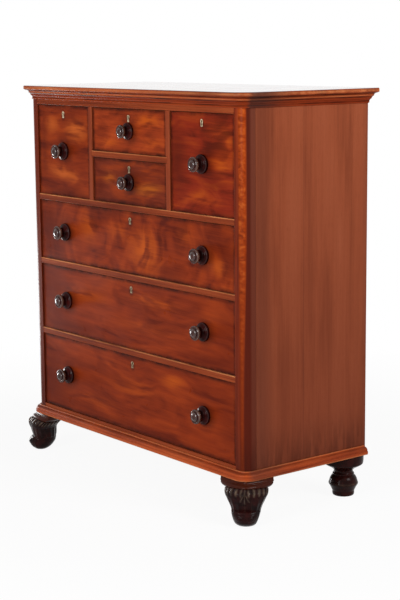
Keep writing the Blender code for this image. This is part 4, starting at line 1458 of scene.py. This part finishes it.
            # The ridges between the flutes are painted a little paler: wear together with painted highlight.
            wear_and_highlight += 0.12 * ends * ridge(flute, 0.0, 0.2)
        if turn < self.toe[0] and depth > self.toe[1]:
            raised -= 0.0009 * ridge(depth, self.toe_groove, self.groove_reach)
            across = (turn - self.curl[0]) / self.curl_reach[0]
            curl = math.hypot(across, (depth - self.curl[1]) / self.curl_reach[1])
            if curl < 1:
                raised += 0.0022 * (1 - curl**2) - 0.0012 * ridge(curl, 0.55, 0.16)
            raised += 0.0012 * ridge(turn, self.wing, 0.1)
        return raised, min(wear_and_highlight, 1.0)

    def surface(self, depth: float, angle: float) -> tuple[Vector, float]:
        """A place on the foot, before the foot is turned into its corner.

        Args:
            depth: The share of the foot's height, from the cap down.
            angle: The turn from the front, in radians.

        Returns:
            The place and how much it is painted paler, for rubbing and painted highlight.
        """
        front, middle, back, wide, full = self.level(depth)
        raised, wear_and_highlight = self.carving(depth, angle)
        across, along = (math.copysign(abs(s) ** (2 / full), s) for s in (math.sin(angle), math.cos(angle)))
        x = self.half_width * wide * across
        y = self.half_width * (front - middle if along > 0 else middle - back) * along
        grow = 1 + raised / math.hypot(x, y)
        lift = 0.009 * max(0.0, math.cos(angle)) * math.sin(math.pi * min(depth / 0.42, 1.0)) ** 2
        return Vector((x * grow, -self.half_width * middle - y * grow, lift - depth * self.height)), wear_and_highlight

    def build(self, finish: Material) -> None:
        """Makes the foot under its corner.

        Args:
            finish: Its material.
        """
        profile = [(0.0, 0.0), *[(1.0, i / self.rows) for i in range(self.rows + 1)], (0.0, 1.0)]
        bm = spun(profile, self.around)
        wear_and_highlight_mark, redness = marks(bm, "wear_and_highlight_mark", "redness")
        for vert in bm.verts:
            depth = min(max(vert.co.z, 0.0), 1.0)
            place, wear_and_highlight = Vector((0, -self.half_width * self.level(depth)[1], -depth * self.height)), 0.0
            if math.hypot(vert.co.x, vert.co.y) > 1e-4:
                place, wear_and_highlight = self.surface(depth, math.atan2(vert.co.x, vert.co.y))
            vert.co = place
            vert[wear_and_highlight_mark] = wear_and_highlight
            below = min(max((depth - 0.195) / 0.02, 0.0), 1.0)
            vert[redness] = 1.0 - below * below * (3 - 2 * below)
        turn = Matrix.Rotation(self.side * math.pi / 4, 3, "Z")
        placed(bm, bm.verts, CASE.at(self.side * CASE.half_width, 0, -CASE.gap), turn)
        put(f"{self.node}_carved", bm, finish, "carcase", [self.node], 60)


@dataclass
class TurnedFoot:
    """A turned rear foot: round cap, cove, collar, bulb and pad."""

    side: int
    node: str
    radius: float = 0.046
    height: float = CASE.floor - CASE.gap
    inset: float = 0.045
    setback: float = 0.049
    segments: int = 72

    def profile(self) -> list[Point]:
        """The turned line from the floor to the cap.

        Returns:
            Points of (radius, height), as shares of the foot's own.
        """
        pad = [(0.0, -1.0), (0.68, -1.0), (0.68, -1.0), (0.715, -0.99), (0.74, -0.965), (0.745, -0.93),
               (0.74, -0.895), (0.74, -0.895)]
        bulb = [(0.80, -0.852), (0.87, -0.80), (0.945, -0.755), (0.99, -0.728), (1.0, -0.71), (0.985, -0.688),
                (0.94, -0.64), (0.89, -0.585), (0.80, -0.535), (0.70, -0.503), (0.70, -0.503)]
        collar = [(0.72, -0.497), (0.73, -0.48), (0.715, -0.463), (0.68, -0.455), (0.68, -0.455)]
        cove = [(0.64, -0.42), (0.66, -0.39), (0.74, -0.36), (0.85, -0.328), (0.97, -0.30), (1.10, -0.28),
                (1.24, -0.25), (1.24, -0.25)]
        cap = [(1.30, -0.235), (1.34, -0.205), (1.35, -0.17), (1.36, -0.13), (1.36, 0.0), (1.36, 0.0),
               (0.0, 0.0)]
        return eased([*pad, *bulb, *collar, *cove, *cap])

    def build(self, finish: Material) -> None:
        """Makes the foot where its node is.

        Args:
            finish: Its material.
        """
        bm = spun([(self.radius * r, -CASE.gap + self.height * h) for r, h in self.profile()], self.segments)
        wear_and_highlight_mark, redness = marks(bm, "wear_and_highlight_mark", "redness")
        for vert in bm.verts:
            # A ring round the widest part of the bulb is painted paler: wear together with painted highlight.
            vert[wear_and_highlight_mark] = 0.3 * ridge(-vert.co.z / self.height, 0.7, 0.04)
            vert[redness] = 0.1
        spot = CASE.at(self.side * (CASE.half_width - self.inset), CASE.depth - self.setback, 0)
        placed(bm, bm.verts, spot)
        put(f"{self.node}_turned", bm, finish, "carcase", [self.node], 50)


@dataclass
class Drawer:
    """One drawer: its veneer, its box, its knobs, its escutcheon and its lock."""

    name: str
    veneer: Veneer
    knobs: tuple[str, ...] = ("",)
    knob_scale: float = 1.0

    def build(self, joinery: Joinery, finishes: dict[str, Material]) -> None:
        """Dresses the drawer.

        Args:
            joinery: What softens the nodes that keep their shape.
            finishes: The shared materials.
        """
        low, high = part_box(f"front_{self.name}")
        knobs = [f"knob_{self.name}{ending}" for ending in self.knobs]
        places = [middle_of(node) for node in knobs]
        key = middle_of(f"escutcheon_{self.name}")
        face = self.veneer.make(f"veneer_{self.name}", low, high, places, key)
        joinery.soften(f"front_{self.name}", face, 0.0009)
        joinery.soften(f"box_{self.name}", finishes["lining"], 0.0007)
        Escutcheon(self.name).build(finishes["brass"])
        Lock(self.name).build(finishes["lock"])
        for node in knobs:
            Knob(node, f"drawer_{self.name}", self.knob_scale).build(finishes["knob"])


@dataclass
class Studio:
    """The floor, the soft lights and the camera at the photograph's angle."""

    eye: Triple = (3.8511, -2.9526, 1.3983)
    azimuth: float = 52.065
    drop: float = 9.696
    roll: float = -0.0095
    lens: float = 60.727
    sensor: float = 24.0
    aim: Triple = (0.0, 0.0, 0.7)
    floor_reach: float = 14.0
    shadow_reach: Point = (0.9, 2.2)

    def camera(self) -> None:
        """Stands the camera where the photograph was taken from."""
        turn, down = math.radians(self.azimuth), math.radians(self.drop)
        ahead = Vector((-math.sin(turn) * math.cos(down), math.cos(turn) * math.cos(down), -math.sin(down)))
        right = Vector((math.cos(turn), math.sin(turn), 0))
        over = right.cross(ahead)
        tilt_cos, tilt_sin = math.cos(self.roll), math.sin(self.roll)
        right, over = tilt_cos * right + tilt_sin * over, tilt_cos * over - tilt_sin * right
        data = bpy.data.cameras.new("camera")
        data.sensor_fit = "VERTICAL"
        data.sensor_height = self.sensor
        data.lens = self.lens
        data.clip_end = 100
        camera = bpy.data.objects.new("camera", data)
        columns = Matrix((right, over, -ahead)).transposed().to_4x4()
        camera.matrix_world = Matrix.Translation(self.eye) @ columns
        bpy.context.scene.collection.objects.link(camera)
        bpy.context.scene.camera = camera

    def floor(self) -> None:
        """Lays a pale floor that keeps a soft shadow of the chest."""
        bm = bmesh.new()
        bmesh.ops.create_grid(bm, x_segments=8, y_segments=8, size=self.floor_reach)
        mesh = bpy.data.meshes.new("studio_floor")
        bm.to_mesh(mesh)
        bm.free()
        graph = Graph("studio_floor")
        mesh.materials.append(graph.end((0.8, 0.8, 0.8), 0.9, Specular_IOR_Level=0.1))
        away = graph.node("VectorMath", {0: graph.place}, "Value", operation="LENGTH")
        white = graph.span(away, *self.shadow_reach, 0.93, 1.0, soft=False)
        glow = graph.node("Emission", {"Strength": 1.0})
        paint = Signal(graph, graph.shader.outputs[0])
        both = graph.node("MixShader", {0: graph.shown() * white, 1: paint, 2: glow})
        graph.feed(graph.tree.nodes["Material Output"].inputs[0], both)
        floor = bpy.data.objects.new("studio_floor", mesh)
        bpy.context.scene.collection.objects.link(floor)

    def world(self) -> None:
        """A white backdrop for the camera, over an even pale light."""
        world = bpy.data.worlds.new("studio")
        bpy.context.scene.world = world
        world.use_nodes = True
        nodes = world.node_tree.nodes
        nodes["Background"].inputs["Color"].default_value = (1, 1, 1, 1)
        nodes["Background"].inputs["Strength"].default_value = 0.25
        tree = Tree(world.node_tree)
        light = Signal(tree, nodes["Background"].outputs[0])
        white = tree.node("Background", {"Color": (1, 1, 1), "Strength": 1.0})
        both = tree.node("MixShader", {0: tree.shown(), 1: light, 2: white})
        tree.feed(nodes["World Output"].inputs[0], both)

    def softbox(self, name: str, where: Sequence[float], size: Point, power: float) -> bpy.types.Object:
        """Hangs a large soft light that faces the chest.

        Args:
            name: Its name.
            where: Its place.
            size: Its width and height.
            power: Its power in watts.

        Returns:
            The light.
        """
        data = bpy.data.lights.new(name, "AREA")
        data.shape = "RECTANGLE"
        data.size, data.size_y = size
        data.energy = power
        lamp = bpy.data.objects.new(name, data)
        lamp.location = where
        lamp.rotation_euler = (Vector(self.aim) - Vector(where)).to_track_quat("-Z", "Y").to_euler()
        lamp.visible_camera = False
        bpy.context.scene.collection.objects.link(lamp)
        return lamp

    def build(self) -> None:
        """Sets up the whole studio."""
        self.camera()
        self.floor()
        self.world()
        self.softbox("key_front", (0.9, -4.3, 1.7), (1.6, 1.6), 126)
        self.softbox("fill_right", (4.2, 1.0, 2.9), (1.6, 1.6), 128)
        window = self.softbox("window_low", (-2.3, -0.42, 0.2), (0.75, 0.6), 25)
        window.visible_diffuse = False
        bpy.context.scene.view_settings.view_transform = "Standard"


def veneers() -> list[Drawer]:
    """The seven drawers, top row first, each with its own leaf of veneer.

    Returns:
        The drawers.
    """
    pair = ("_left", "_right")
    small = 0.92
    return [
        Drawer("top_left", Veneer(
            Figure.STREAKED,
            (Patch(0.075, 0.07, 0.09, 0.055), Patch(-0.07, 0.085, 0.06, 0.04, 0.6),
             Patch(0.0, -0.075, 0.14, 0.035, 0.8, 8)),
            (Patch(0.0, -0.135, 0.2, 0.04), Patch(-0.12, 0.0, 0.03, 0.15, 0.6)),
            flame=seen(198, 98, 40),
        )),
        Drawer("centre_upper", Veneer(
            Figure.STREAKED,
            (Patch(0.10, 0.035, 0.10, 0.03), Patch(-0.1, -0.04, 0.08, 0.02, 0.7),
             Patch(0.12, -0.03, 0.08, 0.025, 0.6)),
            (Patch(-0.15, 0.0, 0.05, 0.07, 0.2),),
            ground=seen(140, 52, 22),
            warm=seen(168, 68, 28),
        ), knob_scale=small),
        Drawer("centre_lower", Veneer(
            Figure.STREAKED,
            (Patch(0.10, -0.015, 0.10, 0.028, 1.0, -6), Patch(-0.11, 0.01, 0.06, 0.03, 0.5)),
            (Patch(0.0, -0.06, 0.2, 0.03, 0.8), Patch(-0.16, -0.02, 0.05, 0.06, 0.8)),
            ground=seen(112, 42, 22),
            flame=seen(184, 96, 24),
        ), knob_scale=small),
        Drawer("top_right", Veneer(
            Figure.STREAKED,
            (Patch(0.085, 0.01, 0.07, 0.07), Patch(0.0, -0.105, 0.15, 0.03, 0.5),
             Patch(0.07, 0.10, 0.09, 0.05, 0.7), Patch(0.115, 0.07, 0.05, 0.07, 0.8)),
            (Patch(-0.12, 0.0, 0.08, 0.16, 1.0), Patch(0.06, -0.06, 0.08, 0.03, 0.5)),
            ground=seen(128, 38, 18),
        )),
        Drawer("long_upper", Veneer(
            Figure.FLAME,
            (Patch(-0.23, 0.03, 0.07, 0.08, 0.6), Patch(0.08, -0.02, 0.12, 0.1),
             Patch(0.27, 0.05, 0.05, 0.05, 0.6), Patch(0.45, -0.03, 0.06, 0.04, 0.9),
             Patch(-0.05, 0.03, 0.1, 0.05, 0.4)),
            (Patch(-0.46, 0.0, 0.14, 0.14, 1.0), Patch(0.2, -0.07, 0.12, 0.04, 0.7),
             Patch(0.42, 0.05, 0.1, 0.06, 0.5), Patch(0.5, 0.0, 0.1, 0.1, 0.6),
             Patch(-0.12, 0.08, 0.09, 0.03, 0.7)),
        ), pair),
        Drawer("long_middle", Veneer(
            Figure.PLAIN,
            (Patch(0.12, 0.055, 0.2, 0.03, 0.75), Patch(-0.26, 0.03, 0.18, 0.03, 0.5),
             Patch(0.1, -0.03, 0.25, 0.03, 0.35)),
            (Patch(-0.32, -0.085, 0.24, 0.028, 0.9), Patch(0.38, -0.085, 0.2, 0.028, 0.9),
             Patch(-0.48, 0.0, 0.2, 0.2, 0.8), Patch(0.5, 0.0, 0.12, 0.2, 0.45)),
        ), pair),
        Drawer("long_lower", Veneer(
            Figure.PLAIN,
            (Patch(0.21, 0.075, 0.09, 0.03, 0.9, -6), Patch(0.0, 0.02, 0.2, 0.04, 0.4),
             Patch(-0.2, -0.06, 0.16, 0.03, 0.35)),
            (Patch(-0.47, -0.03, 0.19, 0.2, 0.9), Patch(0.0, -0.115, 0.5, 0.035, 0.8),
             Patch(0.5, 0.0, 0.12, 0.2, 0.5)),
        ), pair),
    ]


@dataclass
class Back:
    """The boards of the back, and the rows of nails that hold them."""

    rows: tuple[float, ...] = (0.018, 0.294, 0.535, 0.753, 0.95, 1.09)
    spread: Point = (-0.3, 0.3)
    radii: Point = (0.0026, 0.0016)
    thick: float = 0.0008

    def nails(self, finish: Material) -> None:
        """Drives two nails into each board at each row.

        Args:
            finish: Their material.
        """
        low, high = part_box("back_panel")
        width = (high.x - low.x) / CASE.boards
        turn = Matrix.Rotation(-math.pi / 2, 3, "X")
        wide, narrow = self.radii
        bm = bmesh.new()
        for spot in (board + 0.5 + side for board in range(CASE.boards) for side in self.spread):
            for level in self.rows:
                made = bmesh.ops.create_cone(
                    bm, segments=8, radius1=wide, radius2=narrow, depth=self.thick, cap_ends=True
                )
                placed(bm, made["verts"], (low.x + width * spot, high.y + 0.0002, CASE.floor + level), turn)
        put("back_nails", bm, finish, "carcase", (), 30)

    def boards(self, joinery: Joinery) -> None:
        """Dresses the boards."""
        low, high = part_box("back_panel")
        joinery.soften("back_panel", BackBoards(low.x, high.x - low.x).make("pine_boards"))


def dress_mouldings() -> None:
    """Dresses the top board, the cornice and the plinth, with bands of painted highlight and painted shade
    along them.
    """
    under, foot = CASE.floor + CASE.height, CASE.floor
    # Top board's edge: painted shade along its lower and upper arrises, a painted highlight across its
    # middle.
    rim = (Crest(under - 0.0002, 0.0020, 0.9, True), Crest(under + 0.0129, 0.0018, 0.8, True),
           Crest(under + 0.0066, 0.0058, 0.4))
    # Cornice: painted shade in its three hollows, a painted highlight on its middle band.
    lines = (Crest(under - 0.0255, 0.0028, 1.0, True), Crest(under - 0.0134, 0.0034, 1.0, True),
             Crest(under - 0.0028, 0.0032, 1.0, True), Crest(under - 0.0085, 0.0026, 0.4))
    # Plinth: painted highlights along its lower and upper edges, painted shade in the step and on the ovolo.
    edges = (Crest(foot + 0.0008, 0.0050, 0.5), Crest(foot + 0.0262, 0.0016, 0.5),
             Crest(foot + 0.0112, 0.0012, 0.25, True), Crest(foot + 0.0215, 0.0070, 0.5, True))
    top = Mahogany(Grain.ACROSS, seen(92, 32, 16), seen(140, 58, 28), seen(170, 84, 46), 0.04, streaks=20,
                   roughness=0.3, coated_above=under + 0.0130, texture=0.0, crests=rim, shaded=0.75)
    cornice = Mahogany(Grain.ROUND, seen(96, 30, 14), seen(140, 54, 24), seen(166, 74, 36), 0.02, texture=0.3,
                       crests=lines, shaded=0.75)
    plinth = Mahogany(Grain.ROUND, seen(96, 30, 14), seen(164, 70, 32), seen(194, 94, 48), 0.05, texture=0.5,
                      crests=edges, shaded=0.45)
    TopAssembly().build(top.make("mahogany_top"), cornice.make("mahogany_cornice"))
    Plinth().build(plinth.make("mahogany_plinth"))


def dress_case(joinery: Joinery) -> None:
    """Dresses the posts, the sides, the back, the frames and the dividers.

    Args:
        joinery: What softens the nodes that keep their shape.
    """
    low_shade = (Crest(CASE.floor + 0.01, 0.17, 0.5, True),)
    post = Mahogany(Grain.UPRIGHT, seen(80, 24, 10), seen(128, 45, 18), seen(152, 62, 28), 0.04, streaks=60,
                    stripe=Stripe(), painted_low_shade=0.6, crests=low_shade).make("mahogany_post")
    side = Mahogany(Grain.UPRIGHT, seen(86, 36, 22), seen(145, 73, 46), seen(163, 89, 60), 0.04, streaks=14,
                    painted_low_shade=0.5, contrast=0.45, crests=low_shade)
    panel = LinedMahogany(side).make("mahogany_side")
    for hand in ("left", "right"):
        joinery.soften(f"corner_post_{hand}", post, 0.0010)
        joinery.soften(f"side_panel_{hand}", panel, 0.0010)
    Back().boards(joinery)
    rail = Mahogany(Grain.ACROSS, seen(88, 30, 15), seen(130, 55, 27), seen(158, 76, 40), 0.03)
    tops = {"base_frame": 0.037, "drawer_frame_lower": 0.304, "drawer_frame_middle": 0.545,
            "drawer_frame_upper": 0.763, "centre_frame": 0.923, "top_frame": 2.0}
    for node, level in tops.items():
        # A painted highlight, with wear, along each rail's top arris; on the base frame a painted shade line
        # under the lowest drawer instead.
        lowest = node == "base_frame"
        crest = Crest(CASE.floor + level - CASE.gap, 0.0034, 0.3 if lowest else 1.0, lowest)
        faced = FacedPine(replace(rail, crests=(crest,)), Pine(Grain.ACROSS))
        joinery.soften(node, faced.make(f"mahogany_{node}"), 0.0012)
    upright = Mahogany(Grain.UPRIGHT, seen(88, 30, 18), seen(132, 57, 32), seen(158, 80, 48), 0.03)
    standing = FacedPine(upright, Pine(Grain.DEEP)).make("mahogany_upright_on_pine")
    for hand in ("left", "right"):
        joinery.soften(f"divider_{hand}", standing, 0.0010)


def main() -> None:
    """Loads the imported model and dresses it, assembly by assembly."""
    logging.basicConfig(level=logging.INFO, format="%(name)s: %(message)s")
    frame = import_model()
    Studio().build()
    joinery = Joinery(frame["nodes"], frame["record"]["behaviour"]["bodies"])
    dress_mouldings()
    dress_case(joinery)
    foot_gloss = DarkGloss(seen(20, 6, 6), seen(48, 17, 15), wear_and_highlight_strength=0.48, roughness=0.16, gloss=0.06)
    foot = foot_gloss.make("ebonised_foot")
    for side, hand in ((-1, "left"), (1, "right")):
        ScrollFoot(side, f"foot_front_{hand}").build(foot)
        TurnedFoot(side, f"foot_rear_{hand}").build(foot)
    # Knobs: the pale third colour on the head's rings and button is wear together with painted highlight.
    knob = DarkGloss(seen(26, 6, 6), seen(66, 17, 15), seen(200, 166, 140), shine=0.95)
    finishes = {
        "knob": knob.make("ebonised_knob"),
        "brass": AgedBrass().make("aged_brass"),
        "lock": AgedBrass(seen(96, 78, 50), seen(46, 36, 24)).make("dark_brass"),
        "lining": Pine(Grain.DEEP).make("pine_lining"),
    }
    for drawer in veneers():
        drawer.build(joinery, finishes)
    Back().nails(foot)


if __name__ == "__main__":
    main()
